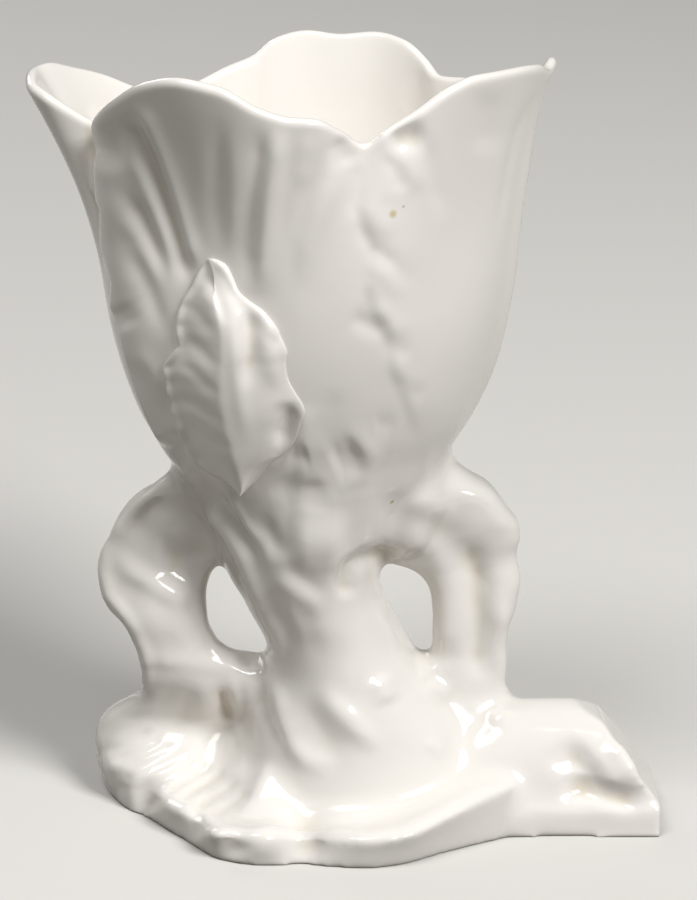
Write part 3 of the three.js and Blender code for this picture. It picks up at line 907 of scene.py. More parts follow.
@dataclass(frozen=True)
class Glaze:
    """Clear glaze over white earthenware, dipped and fired glossy.

    It gives a wet, even shine with soft swellings in the reflections. In hollows its colour is
    mixed darker and warmer, partly as glaze that lies thick there and partly as painted shade,
    and iron in the clay leaves a few brown specks.
    """

    body: str = "#ECE8E2"
    # Colour mixed in by how deep a point lies in a hollow: partly glaze that pools, partly painted
    # shade
    pooled_and_shaded: str = "#DCD4C5"
    roughness: float = 0.11
    ior: float = 1.5
    # The swellings' width and height, in millimetres
    swelling: float = 9.0
    swelling_height: float = 0.05
    # The share of a speck's size that has its full colour
    speck_core: float = 0.3

    def make(self, specks: Iterable[tuple[Speck, Vector]]) -> bpy.types.Material:
        """Mixes the glaze as a node material on the piece's own coordinates.

        Args:
            specks: The specks, each with its place in millimetres.

        Returns:
            The material.
        """
        material = bpy.data.materials.new("white_earthenware_glaze")
        material.use_nodes = True
        tree = material.node_tree
        tree.nodes.clear()
        place = add_node(tree, "ShaderNodeTexCoord").outputs["Object"]
        hollow = add_node(tree, "ShaderNodeAttribute", {"attribute_name": HOLLOW_LAYER})
        # Hollows turn darker and warmer: partly pooled glaze, partly painted shade
        pooled_and_shaded_colour = add_node(
            tree,
            "ShaderNodeMix",
            {"data_type": "RGBA"},
            {"Factor": hollow.outputs["Fac"], "A": linear(self.body), "B": linear(self.pooled_and_shaded)},
        )
        colour = pooled_and_shaded_colour.outputs[2]
        for speck, spot in specks:
            away = add_node(
                tree, "ShaderNodeVectorMath", {"operation": "DISTANCE"}, {0: place, 1: spot * MM}
            )
            inside = add_node(
                tree,
                "ShaderNodeMapRange",
                inputs={
                    "Value": away.outputs["Value"],
                    "From Min": speck.size * MM,
                    "From Max": speck.size * self.speck_core * MM,
                },
            )
            stained = add_node(
                tree,
                "ShaderNodeMix",
                {"data_type": "RGBA"},
                {"Factor": inside.outputs["Result"], "A": colour, "B": linear(speck.colour)},
            )
            colour = stained.outputs[2]
        swellings = add_node(
            tree,
            "ShaderNodeTexNoise",
            inputs={"Vector": place, "Scale": 1 / (self.swelling * MM), "Detail": 1.0},
        )
        bump = add_node(
            tree,
            "ShaderNodeBump",
            inputs={
                "Height": swellings.outputs["Fac"],
                "Distance": self.swelling_height * MM,
                "Strength": 1.0,
            },
        )
        shader = add_node(
            tree,
            "ShaderNodeBsdfPrincipled",
            inputs={
                "Base Color": colour,
                "Normal": bump.outputs["Normal"],
                "Roughness": self.roughness,
                "IOR": self.ior,
            },
        )
        add_node(tree, "ShaderNodeOutputMaterial", inputs={"Surface": shader.outputs["BSDF"]})
        return material


def fire(clay: BMesh, node: str, glaze: bpy.types.Material) -> None:
    """Fires a piece: it becomes an object in metres that stands for its construction node.

    Args:
        clay: The piece's clay. It is used up.
        node: The construction node, whose part is hidden and whose name the piece's object carries.
        glaze: The glaze.
    """
    for face in clay.faces:
        face.smooth = True
    clay.normal_update()
    for edge in clay.edges:
        if edge.calc_face_angle(0.0) > SHARP_ANGLE:
            edge.smooth = False
    bmesh.ops.scale(clay, vec=Vector((MM, MM, MM)), verts=clay.verts)
    normals = skin_normals(clay)
    piece = held(clay, f"glazed_{node}")
    mesh = piece.data
    if normals:
        mesh.normals_split_custom_set(normals)
    mesh.materials.append(glaze)
    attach(piece, "root")
    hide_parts(node)
    LOG.info("%s: %d faces", node, len(mesh.polygons))


def between(stops: Sequence[object], share: float) -> tuple[int, float]:
    """Finds the two stops that a share of the way lies between.

    Args:
        stops: The stops, evenly spread over the way.
        share: The share of the way.

    Returns:
        The number of the stop before it, and the share of the way on to the next.
    """
    reach = share * (len(stops) - 1)
    step = min(int(reach), len(stops) - 2)
    return step, reach - step


@dataclass(eq=False)
class FlowerCup:
    """The cup: five petals that grow together towards their foot, with a wavy rolled lip."""

    thickness: float = 3.0
    # Where the lip's roll starts: how far under the rim, in thicknesses, and how far inside it
    roll_drop: float = 0.75
    roll_inset: float = 0.5
    floor: float = 3.0
    floor_radius: float = 18.0
    mouth_bevel: float = 1.0
    # Where the inside wall ends, as a share of the height, and how much thicker a wall at the
    # very foot would be
    inside_end: float = 0.12
    thickening: float = 1.0
    # The sheet's cells, and the shares of its rows at which one stage gives way to the next
    columns: int = 380
    rows: int = 225
    lip_start: float = 0.66
    lip_end: float = 0.7
    floor_start: float = 0.96
    # The angle that the columns crowd towards, and how much they do
    front: float = 270.0
    crowding: float = 0.58
    # The share of the height at which the rim's own outline takes hold, and how late it does:
    # latest on the right
    flare_start: float = 0.58
    flare_power: float = 1.95
    flare_lean: float = 0.45
    # Up to the first height the cup lies on the clay below, from the second on it is free
    join_low: float = 92.0
    join_high: float = 103.0
    # The crease at this joint is filled, from a margin over the cup's foot upwards
    joint_margin: float = 1.0
    joint_rounds: int = 12
    joint_hollow: float = 0.012
    rubs: int = 2
    # The rays that find the clay below start this far out
    ray_start: float = 950.0
    # The blank of the lower bowl
    blank_top: float = 112.0
    blank_columns: int = 180
    blank_rows: int = 30
    # Height and radius of a plain cup
    profile: Table = (
        (80, 22.5),
        (84, 24.9),
        (88, 28.6),
        (92, 32.5),
        (96, 35.5),
        (100, 37.8),
        (108, 42),
        (121, 46.5),
        (134, 49.5),
        (146, 51.2),
        (159, 52.3),
        (171, 53),
        (182, 53.5),
        (200, 55.1),
    )
    # Angle, then height and radius of the rim
    rim: Table = (
        (3, 192, 61),
        (10, 188.5, 59.9),
        (18, 185.5, 58.3),
        (32, 184, 57.5),
        (42, 183, 56),
        (50, 182.8, 54.3),
        (56, 186, 56),
        (64, 190, 58),
        (72, 191.3, 59),
        (82, 190.4, 58.5),
        (90, 191.2, 59),
        (98, 189.6, 58.5),
        (103, 185.7, 58),
        (112, 183, 57),
        (120, 180.5, 56),
        (132, 178.5, 54),
        (140, 180.5, 57),
        (150, 185, 61),
        (160, 188.3, 64),
        (169, 190.8, 67),
        (176, 190.8, 68.5),
        (184, 189.5, 68),
        (190, 187.5, 64),
        (194, 183.5, 57),
        (197, 181, 52.5),
        (203, 182.5, 55.5),
        (213, 187, 59.5),
        (225, 193, 63),
        (236, 198.8, 65.2),
        (244, 200.6, 66.1),
        (252, 199.1, 64.8),
        (260, 194.1, 61.5),
        (267, 191.6, 59),
        (273, 191, 58),
        (280, 187.6, 54.5),
        (286, 184.2, 52.5),
        (292, 187.4, 54.2),
        (301, 192, 55.6),
        (309, 196.4, 57),
        (316, 198, 58),
        (330, 197.6, 59),
        (342, 196.4, 60),
        (350, 194.3, 60.5),
        (357, 195.3, 61.5),
    )
    # Under the lip the petals tuck in: the angle, how far round it reaches, and how deep
    tucks: Table = ((240, 30, 4.2), (316, 24, 1.6), (170, 26, 2.0), (90, 30, 1.5), (10, 26, 1.0))
    tuck_start: float = 0.35
    profile_curve: Curve = field(init=False)
    rim_curve: Curve = field(init=False)

    def __post_init__(self) -> None:
        """Lays the cup's two curves."""
        self.profile_curve = Curve(self.profile)
        self.rim_curve = Curve(self.rim, 360)

    @lru_cache(maxsize=None)
    def rim_at(self, angle: float) -> tuple[float, float]:
        """Returns the height at which the lip's roll starts, and the radius there."""
        height, radius = self.rim_curve.at(angle)
        return height - self.roll_drop * self.thickness, radius - self.roll_inset

    def radius(self, angle: float, height: float) -> float:
        """Finds the plain outside's radius.

        Args:
            angle: The angle round the cup, in degrees.
            height: The height.

        Returns:
            The radius there.
        """
        rim_height, rim_radius = self.rim_at(angle)
        (plain,) = self.profile_curve.at(height)
        (plain_rim,) = self.profile_curve.at(rim_height)
        share = (height - CUP_FOOT) / (rim_height - CUP_FOOT)
        opened = max(0.0, (share - self.flare_start) / (1 - self.flare_start))
        power = self.flare_power + self.flare_lean * math.cos(math.radians(angle))
        tuck = max(0.0, (share - self.tuck_start) / (1 - self.tuck_start))
        under_lip = math.sin(math.pi * tuck) ** 2
        tucked = sum(
            depth * smoothstep(1 - abs((angle - middle + 180) % 360 - 180) / reach)
            for middle, reach, depth in self.tucks
        )
        return plain + (rim_radius - plain_rim) * opened**power - tucked * under_lip

    def outside(self, angle: float, share: float) -> Vector:
        """Returns a point of the plain outside, from foot at 0 to the lip at 1."""
        height = mix(CUP_FOOT, self.rim_at(angle)[0], share)
        return polar(self.radius(angle, height), angle, height)

    def normal(self, angle: float, share: float) -> tuple[Vector, Vector]:
        """Finds how the wall stands.

        Args:
            angle: The angle round the cup, in degrees.
            share: 0 at the foot, 1 at the lip.

        Returns:
            The outside's normal and the way up along the wall.
        """
        turn, climb = 0.5, 0.01
        along = self.outside(angle + turn, share) - self.outside(angle - turn, share)
        up = self.outside(angle, share) - self.outside(angle, share - climb)
        out = along.cross(up).normalized()
        return out, out.cross(along).normalized()

    def bowl(self) -> BMesh:
        """Lays the lower bowl as a blank, for the clay under the cup to run into.

        Returns:
            The closed blank.
        """
        low, high = self.profile[0][0], self.blank_top

        def place(u: float, v: float) -> Vector:
            """Returns a point of the bowl from its shares round and up."""
            height = mix(low, high, v)
            return polar(self.radius(360 * u, height), 360 * u, height)

        return sheet(self.blank_columns, self.blank_rows, place)

    def angle(self, share: float) -> float:
        """Returns the angle of a column, with the columns crowded towards the front."""
        swing = self.crowding / math.tau * math.sin(math.tau * (share - self.front / 360))
        return 360 * (share - swing)

    def make(self, body: BVHTree) -> BMesh:
        """Lays the cup's sheet.

        Args:
            body: The worked clay under the cup, which the foot follows.

        Returns:
            The cup's worked clay.
        """
        stages = (
            (0.0, self.lip_start, self.up_outside),
            (self.lip_start, self.lip_end, self.over_lip),
            (self.lip_end, self.floor_start, self.down_inside),
            (self.floor_start, 1.0, self.through_floor),
        )

        def place(u: float, v: float) -> Vector:
            """Returns a point of the sheet from its shares round and along."""
            start, stop, stage = next(row for row in stages if v <= row[1] or row is stages[-1])
            return stage(self.angle(u), (v - start) / (stop - start), body)

        clay = sheet(self.columns, self.rows, place)
        low = CUP_FOOT + self.joint_margin
        clay.normal_update()
        joint = [
            vert for vert in clay.verts if low < vert.co.z < self.join_high and self.outwards(vert)
        ]
        fill_creases(clay, joint, self.joint_rounds, self.joint_hollow)
        work_all_round(clay, self.reached)
        shaped = [vert for vert in clay.verts if vert.co.z > self.join_low]
        rub(clay, shaped, self.rubs)
        mark_hollows(clay)
        return clay

    def outwards(self, vert: BMVert) -> bool:
        """Returns whether a point lies on the outside."""
        return vert.normal.x * vert.co.x + vert.normal.y * vert.co.y > 0

    def reached(self, vert: BMVert) -> float:
        """Finds the share of a stroke that reaches a point.

        Args:
            vert: A point of the cup.

        Returns:
            0 on the inside and under the joint, 1 on the outside above it.
        """
        if not self.outwards(vert):
            return 0.0
        return smoothstep((vert.co.z - self.join_low) / (self.join_high - self.join_low))

    def up_outside(self, angle: float, share: float, body: BVHTree) -> Vector:
        """Runs up the outside, which near its foot lies on the clay below.

        Args:
            angle: The angle round the cup, in degrees.
            share: How far this stage has come.
            body: The worked clay under the cup.

        Returns:
            The sheet's point.
        """
        point = self.outside(angle, share)
        if point.z > self.join_high:
            return point
        out = polar(1, angle, 0)
        start = out * self.ray_start + Vector((0, 0, max(point.z, CUP_FOOT + WELD)))
        hit = body.ray_cast(start, -out)[0]
        if hit is None:
            return point
        hold = smoothstep((self.join_high - point.z) / (self.join_high - self.join_low))
        return point.lerp(Vector((hit.x, hit.y, point.z)), hold)

    def over_lip(self, angle: float, share: float, body: BVHTree) -> Vector:
        """Rolls over the lip, with the arguments and the result of up_outside."""
        out, up = self.normal(angle, 1.0)
        middle = self.outside(angle, 1.0) - out * self.thickness / 2
        turn = math.pi * share
        return middle + (out * math.cos(turn) + up * math.sin(turn)) * self.thickness / 2

    def down_inside(self, angle: float, share: float, body: BVHTree) -> Vector:
        """Runs down the inside, where the wall thickens, as up_outside runs up."""
        height = mix(1.0, self.inside_end, share)
        wall = self.thickness * (1 + self.thickening * (1 - height) ** 2)
        return self.outside(angle, height) - self.normal(angle, height)[0] * wall

    def through_floor(self, angle: float, share: float, body: BVHTree) -> Vector:
        """Crosses the floor, the bore's mouth and the luting face, as up_outside runs up."""
        floor = CUP_FOOT + self.floor
        stops = (
            self.down_inside(angle, 1.0, body),
            polar(self.floor_radius, angle, floor),
            polar(BORE + self.mouth_bevel, angle, floor),
            polar(BORE, angle, floor - self.mouth_bevel),
            polar(BORE, angle, CUP_FOOT),
            self.up_outside(angle, 0.0, body),
        )
        step, rest = between(stops, share)
        return stops[step].lerp(stops[step + 1], rest)


def ovals(rows: Table, turns: int, steps: int, square: float = 1.0) -> BMesh:
    """Lofts a blank through ovals that lie level.

    Args:
        rows: Height, then the middle in x and y, then half width and half depth.
        turns: Points round each oval.
        steps: Rings from end to end.
        square: 1 for a true oval, less for one with squarer flanks.

    Returns:
        The closed blank.
    """
    curve = Curve(rows)

    def place(u: float, v: float) -> Vector:
        """Returns a point of the blank from its shares round and up."""
        height = mix(rows[0][0], rows[-1][0], v)
        middle_x, middle_y, half_x, half_y = curve.at(height)
        turn = math.tau * u
        across, deep = math.cos(turn), math.sin(turn)
        return Vector((
            middle_x + half_x * math.copysign(abs(across) ** square, across),
            middle_y + half_y * math.copysign(abs(deep) ** square, deep),
            height,
        ))

    return sheet(turns, steps, place)


@dataclass
class Trunk:
    """The leaning trunk and the bore down through it."""

    # The well in the base, into which the bore runs
    well_floor: float = 4.0
    well_centre: float = 12.0
    # Height, the middle in x and y, half width and half depth
    rows: Table = (
        (5, 15, 0, 33, 29),
        (14, 15, 0, 31.5, 27.5),
        (24, 13.5, 0, 28.2, 25.5),
        (32, 11, 0, 23.9, 24.5),
        (40, 9.4, 0, 19.4, 22.7),
        (47, 6.7, 0, 17.8, 22.3),
        (57, 1.7, 0, 17.8, 24.6),
        (65, -1, 0, 19.4, 27),
        (71, -1.4, 0, 21, 29.2),
        (76, -0.6, 0, 23.5, 31.4),
        (84, 0.5, 0, 27.5, 33.2),
        (90, 1, 0, 31, 34.8),
        (97, 1, 0, 34.5, 37.6),
        (104, 0.5, 0, 37, 40),
        (110, 0, 0, 38.5, 41.4),
    )
    # The shoulder where the right handle runs into the trunk, in the same way
    shoulder: Table = (
        (68, 20, -2, 5, 6),
        (72, 21.5, -2.5, 8.5, 9.5),
        (76, 22.5, -3, 11.5, 12.5),
        (80, 23, -3, 13.5, 15),
        (84, 22.8, -3, 14.5, 17.3),
        (88, 22, -3, 14, 18.6),
        (93, 20, -3, 12, 18.6),
        (98, 18, -3, 8, 15),
    )

    def blank(self) -> BMesh:
        """Returns the trunk before it is joined."""
        return ovals(self.rows, turns=64, steps=84)

    def shoulder_blank(self) -> BMesh:
        """Returns the shoulder before it is joined."""
        return ovals(self.shoulder, turns=56, steps=40)

    def drill(self) -> BMesh:
        """Shapes the bore, which follows the trunk's lean down to the well.

        Returns:
            The bore's closed shape.
        """
        heights = (self.well_floor, *(row[0] for row in self.rows[1:]))
        middles = (min(row[1], self.well_centre) for row in self.rows)
        rows = tuple((height, middle, 0, BORE, BORE) for height, middle in zip(heights, middles))
        return ovals(rows, turns=48, steps=30)


@dataclass
class LeafHandle:
    """A handle: one crinkled leaf that bends out from the cup's foot down to the base.

    Its rows give height, outer and inner edge, then the middle and half of its depth.
    """

    edges: Table
    squareness: float = 0.8

    def blank(self) -> BMesh:
        """Lays the handle before it is joined.

        Returns:
            The closed blank.
        """
        rows = tuple(
            (height, (outer + inner) / 2, middle, abs(outer - inner) / 2, half)
            for height, outer, inner, middle, half in self.edges
        )
        return ovals(rows, turns=48, steps=140, square=self.squareness)


# The edges of the two handles
LEFT_EDGES: Table = (
    (5, -52, -23, 13, 10),
    (11, -54.9, -21, 14, 10.5),
    (17.5, -54.3, -15.8, 14, 9.5),
    (21, -51.7, -11.6, 13, 10),
    (24.2, -47.8, -8.4, 10.4, 9.8),
    (27.4, -43.9, -6.3, 7, 9),
    (31.2, -41.9, -5.2, 3.6, 8.2),
    (35.3, -41.8, -5.2, 1.4, 7.8),
    (39.3, -42.5, -6.8, 0.3, 7.2),
    (40.3, -42.7, -14.7, 0, 7),
    (42, -43, -19.4, 0, 6.8),
    (44.7, -43.9, -22.6, 0, 6.5),
    (48.5, -45.4, -24.6, 0, 6.5),
    (53.6, -50.4, -25.3, 0.5, 6.5),
    (58, -52.1, -25.4, 1, 6.5),
    (62, -52.5, -24.3, 1.6, 6.5),
    (64.7, -52.4, -22.1, 1.9, 6.5),
    (66.5, -52, -17.9, 1.9, 6.5),
    (68.5, -51.4, -12.1, 1.9, 6.5),
    (73.2, -49, -10, 1.9, 6.5),
    (80.1, -45.6, -14.2, 1.6, 6.5),
    (83.8, -41.8, -17.9, 1, 6.5),
    (86.4, -36.8, -22.1, 0.5, 6.5),
    (90.3, -32.3, -27.3, 0, 6),
    (94.1, -32, -29.4, 0, 5.2),
)
RIGHT_EDGES: Table = (
    (14.3, 55.6, 10.3, 0, 15.6),
    (24, 54, 10.3, 0, 11.7),
    (30, 52, 10.3, 0, 9.1),
    (32.6, 50.6, 10.3, 0, 8.1),
    (38.5, 50.3, 20, 0, 7),
    (39.8, 50.3, 27, 0, 6.8),
    (41.5, 50.2, 30.8, 0, 6.5),
    (44.7, 50.2, 31.8, 0, 6.5),
    (48.7, 50.9, 31.9, 0, 6.5),
    (52.8, 52.7, 31.9, 0, 6.5),
    (57.6, 53.6, 31.3, 0.3, 6.5),
    (60, 54, 30.3, 0.5, 6.5),
    (63, 53.8, 27.5, 0.8, 6.5),
    (65, 53.3, 23.2, 1, 6.5),
    (66.4, 53.1, 17.8, 1, 6.8),
    (68.7, 53, 14, 1, 7.4),
    (72.7, 53.9, 11.9, 1, 8.6),
    (75.9, 53.4, 11.9, 1, 9.6),
    (79.8, 50.6, 15.1, 0.8, 10.4),
    (85.6, 46, 21.6, 0.5, 10.6),
    (87.7, 42.2, 24.8, 0.3, 10),
    (89.8, 38.9, 28.1, 0, 9),
    (92.9, 36.7, 31.3, 0, 7),
    (94.9, 35.6, 32.4, 0, 3.9),
)


@dataclass
class LeafBase:
    """The spreading base: lobed leaves with a rolled lip round a shallow dish.

    Its rows give an angle, the radius at the foot and at the lip, and the lip's height.
    """

    lip_width: float = 3.0
    lip_roll: float = 0.7
    # Where the roll is roundest, as shares of the lip's width and of its roll
    lip_inset: float = 0.35
    lip_drop: float = 0.2
    overhang: float = 1.2
    # How deep the dish lies under the lip's crest
    dish: float = 1.2
    # The dish's corner: a share of the crest's radius, and how high it lies over the dish
    corner: float = 0.9
    corner_rise: float = 0.3
    # The slope up into the trunk: shares of the crest's radius and of the rise to the top
    slope: Table = ((0.82, 0.0), (0.66, 0.2), (0.52, 0.55), (0.36, 1.0))
    top: float = 22.0
    turns: int = 240
    steps: int = 36
    # The mound under the left handle: height, the middle in x and y, half width, half depth
    mound: Table = (
        (3, -32.5, 9, 20, 16),
        (9, -33, 9, 20.5, 17),
        (13, -33.5, 10.5, 19.5, 15),
        (17.5, -33, 12, 18, 12.5),
        (21.5, -31, 13, 15.5, 10),
        (25, -28, 13, 12, 6.5),
        (28, -26, 12, 8, 3),
    )
    rows: Table = (
        (0, 58, 57, 15),
        (12, 57, 56, 14),
        (22, 54, 54, 13),
        (34, 51, 51.5, 11.5),
        (46, 50, 51, 10.5),
        (58, 45.5, 45, 9.5),
        (70, 45, 46, 9.5),
        (84, 41.5, 42, 9),
        (97, 39, 37.5, 8.5),
        (110, 42.5, 43.5, 9),
        (123, 45.5, 46.5, 9),
        (135, 48, 47.5, 8.5),
        (143, 53, 54, 9),
        (152, 55.5, 57, 9),
        (159, 56, 57.6, 9),
        (168, 53.5, 54.8, 9),
        (178, 49.25, 49.4, 9),
        (187, 45.5, 45, 9),
        (192, 42.5, 40, 8.5),
        (204, 40, 39.5, 9),
        (217, 39.25, 39, 9),
        (224, 40, 39, 8.8),
        (232, 41.4, 41.4, 9),
        (241, 43.25, 44.75, 9),
        (250, 43, 43, 9),
        (258, 42, 41, 8.8),
        (264, 41, 38.8, 8.5),
        (269, 40.6, 38, 8.5),
        (275, 41.6, 40.5, 8.7),
        (281, 43, 42.5, 9),
        (290, 45.5, 46.5, 9.5),
        (303, 47, 49, 10.5),
        (312, 47.1, 48.5, 11.5),
        (325, 50, 50.5, 13.5),
        (337, 55.5, 55, 15),
        (348, 58, 57, 15),
    )

    def blank(self) -> BMesh:
        """Lays the base before it is joined.

        Returns:
            The closed blank.
        """
        edges = Curve(self.rows, 360)

        def place(u: float, v: float) -> Vector:
            """Returns a point of the base from its shares round and inwards."""
            foot, lip, height = edges.at(360 * u)
            low = height - self.dish
            crest = lip - self.lip_width
            stops = (
                (foot, 0.0),
                ((foot + lip + self.overhang) / 2, height / 2),
                (lip + self.overhang, height - 2 * self.lip_roll),
                (lip - self.lip_width * self.lip_inset, height - self.lip_roll * self.lip_drop),
                (crest, height),
                (crest * self.corner, low + self.corner_rise),
                *((crest * inwards, mix(low, self.top, rise)) for inwards, rise in self.slope),
            )
            step, share = between(stops, v)
            radius, level = (mix(a, b, share) for a, b in zip(stops[step], stops[step + 1]))
            return polar(radius, 360 * u, level)

        return sheet(self.turns, self.steps, place)

    def mound_blank(self) -> BMesh:
        """Returns the mound before it is joined."""
        return ovals(self.mound, turns=64, steps=40)


@dataclass
class CutBranch:
    """The branch beside the base: a crest along its top, a ledge in front and a sawn end.

    Both sections run from the back foot over the crest to the front foot. Stations give x,
    the share of the end section, and how wide and high the section is there.
    """

    # The saw cut: where it meets the top, and its slope and turn in degrees
    crest_end: float = 72.0
    saw_slope: float = 54.0
    saw_turn: float = 3.0
    # The worn shoulder above it
    shoulder_end: float = 67.5
    shoulder_slope: float = 25.0
    # How far the joint with the right handle leans to the right on its way up to the cup's foot
    joint_lean: float = 37.5
    # The share of each ring that closes the underside
    underside: float = 0.2
    turns: int = 90
    steps: int = 70
    root: Line = (
        (12, 0), (13, 8), (10, 18), (4, 26), (-2, 29.7), (-7, 28.8), (-12, 25.5), (-15.5, 21),
        (-18, 16), (-20.5, 10.5), (-22.8, 5), (-23, 0),
    )
    end: Line = (
        (12, 0), (13, 8), (9, 18), (3, 26), (-2, 30), (-7, 29.4), (-13, 26), (-18, 20.5),
        (-21, 15), (-20.2, 9.5), (-22, 6.5), (-22.5, 0),
    )
    stations: Table = (
        (20, 0, 1.2, 0.6),
        (31, 0, 1.15, 0.75),
        (43, 0, 1.05, 0.92),
        (52, 0, 1, 1),
        (60, 0.35, 0.97, 1),
        (70, 0.8, 0.97, 1),
        (79, 1, 1, 1),
        (96, 1, 1, 1),
    )

    def blank(self) -> BMesh:
        """Lays the branch before it is joined, and saws its end.

        Returns:
            The closed blank.
        """
        root = Curve(tuple((i, *point) for i, point in enumerate(self.root)))
        end = Curve(tuple((i, *point) for i, point in enumerate(self.end)))
        stations = Curve(self.stations)
        last = len(self.root) - 1
        over = 1 - self.underside

        def place(u: float, v: float) -> Vector:
            """Returns a point of the branch from its shares round and along."""
            x = mix(self.stations[0][0], self.stations[-1][0], v)
            ending, wide, high = stations.at(x)
            if u > over:
                foot = mix(self.root[-1][0], self.root[0][0], (u - over) / self.underside)
                return Vector((x, foot * wide, 0))
            key = u / over * last
            (root_y, root_z), (end_y, end_z) = root.at(key), end.at(key)
            return Vector((x, wide * mix(root_y, end_y, ending), high * mix(root_z, end_z, ending)))

        clay = sheet(self.turns, self.steps, place)
        saw = polar(math.sin(math.radians(self.saw_slope)), self.saw_turn, 0)
        saw.z = math.cos(math.radians(self.saw_slope))
        slope = math.radians(self.shoulder_slope)
        shoulder = Vector((math.sin(slope), 0, math.cos(slope)))
        cut_away(clay, Vector((self.crest_end, 0, BRANCH_TOP)), saw)
        cut_away(clay, Vector((self.shoulder_end, 0, BRANCH_TOP)), shoulder)
        cut_away(clay, Vector((BRANCH_END, 0, 0)), Vector((1, 0, 0)))
        return clay


@dataclass
class AppliedLeaf:
    """The toothed leaf on the cup's front, pressed in a mould and luted on.

    Its rows are read off the photograph: how far down a level lies, then the leaf's left edge,
    its rib and its right edge there, in pixels.
    """

    # In millimetres: how high the margins and the rib stand over the cup, and how far the
    # underside sinks into it
    left_margin: float = 0.3
    right_margin: float = 0.9
    crown: float = 5.0
    sunk: float = 0.9
    # The teeth of the left edge: how many, how deep in pixels, and the share on the right
    teeth: int = 12
    tooth: float = 2.2
    right_bite: float = 0.3
    # The share of the length over which the crown rises from the tip
    tip: float = 0.2
    rubs: int = 3
    columns: int = 150
    levels: int = 120
    rows: Table = (
        (258, 208, 210, 213),
        (266, 203, 213, 224),
        (280, 197, 218, 231),
        (294, 190, 222, 238),
        (303, 184, 225, 248),
        (312, 180, 227, 261),
        (322, 177, 229, 270),
        (334, 178, 230, 278),
        (345, 180, 230, 285),
        (353, 175, 230, 287),
        (362, 165, 229, 286),
        (370, 163, 228, 286),
        (380, 166, 227, 289),
        (392, 169, 228, 295),
        (402, 172, 229, 302),
        (412, 174, 231, 305),
        (425, 177, 234, 301),
        (440, 183, 238, 296),
        (452, 190, 242, 286),
        (462, 198, 245, 272),
        (472, 208, 248, 263),
        (480, 222, 249, 257),
        (486, 240, 248, 251),
    )

    def make(self, cup: BVHTree) -> BMesh:
        """Lays the leaf on the cup.

        Args:
            cup: The cup's worked clay.

        Returns:
            The leaf's worked clay.
        """
        curve = Curve(self.rows)
        top, bottom = self.rows[0][0], self.rows[-1][0]

        def place(u: float, v: float) -> Vector:
            """Returns a point of the leaf from its shares round and down."""
            down = mix(top, bottom, v)
            left, rib, right = curve.at(down)
            bite = self.tooth * math.sin(math.pi * v) * (1 - math.cos(math.tau * v * self.teeth)) / 2
            left += bite
            right -= bite * self.right_bite
            turn = math.tau * u
            across = mix(left, right, (1 - math.cos(turn)) / 2)
            edge, margin = (left, self.left_margin) if across < rib else (right, self.right_margin)
            folded = (across - edge) / (rib - edge)
            point, normal = seen(cup, across, down)
            round_margin = math.copysign(math.sqrt(abs(math.sin(turn))), math.sin(turn))
            crown = mix(margin, self.crown, smoothstep(v / self.tip))
            lift = mix(margin, crown, folded) if u < 0.5 else self.sunk
            return point + normal * lift * round_margin

        clay = sheet(self.columns, self.levels, place)
        work(clay, Facing.PHOTO, LEAF_STROKES)
        rub(clay, clay.verts[:], self.rubs)
        mark_hollows(clay)
        return clay


def seen(clay: BVHTree, across: float, down: float) -> tuple[Vector, Vector]:
    """Looks at the clay through a pixel of the photograph.

    Args:
        clay: The clay.
        across: Pixels from the photograph's left edge.
        down: Pixels from its top.

    Returns:
        The point of the clay that is seen, and the normal there.
    """
    side = (across - IMAGE_WIDTH / 2) / FOCAL
    rise = (IMAGE_HEIGHT / 2 - down) / FOCAL
    point, normal, _, _ = clay.ray_cast(EYE, FORWARD + UPWARD * rise + Vector((side, 0, 0)))
    return point, normal


def camera() -> None:
    """Sets the camera that the photograph was taken with."""
    data = bpy.data.cameras.new("camera")
    data.lens = LENS
    data.sensor_width = SENSOR
    data.clip_start, data.clip_end = CLIP_START, CLIP_END
    eye = bpy.data.objects.new("camera", data)
    eye.location = EYE * MM
    eye.rotation_euler = (math.pi / 2 - TILT, 0, 0)
    bpy.context.scene.collection.objects.link(eye)
    bpy.context.scene.camera = eye


# Where the soft lights point, in metres
AIM = Vector((0, 0, 0.1))


@dataclass(frozen=True)
class Softbox:
    """A square soft light: where it stands, how wide it is, both in metres, and its watts."""

    name: str
    place: tuple[float, float, float]
    size: float
    power: float

    def hang(self) -> None:
        """Hangs the light."""
        data = bpy.data.lights.new(self.name, "AREA")
        data.shape = "SQUARE"
        data.size = self.size
        data.energy = self.power
        lamp = bpy.data.objects.new(self.name, data)
        lamp.location = Vector(self.place)
        lamp.rotation_euler = (AIM - lamp.location).to_track_quat("-Z", "Y").to_euler()
        bpy.context.scene.collection.objects.link(lamp)


LIGHTS = (
    Softbox("key", (1.08, -1.34, 1.4), 0.8, 40.5),
    Softbox("overhead", (-0.46, -0.65, 1.6), 0.7, 12.0),
    Softbox("behind", (-1.0, 1.4, 1.2), 0.9, 9.0),
)


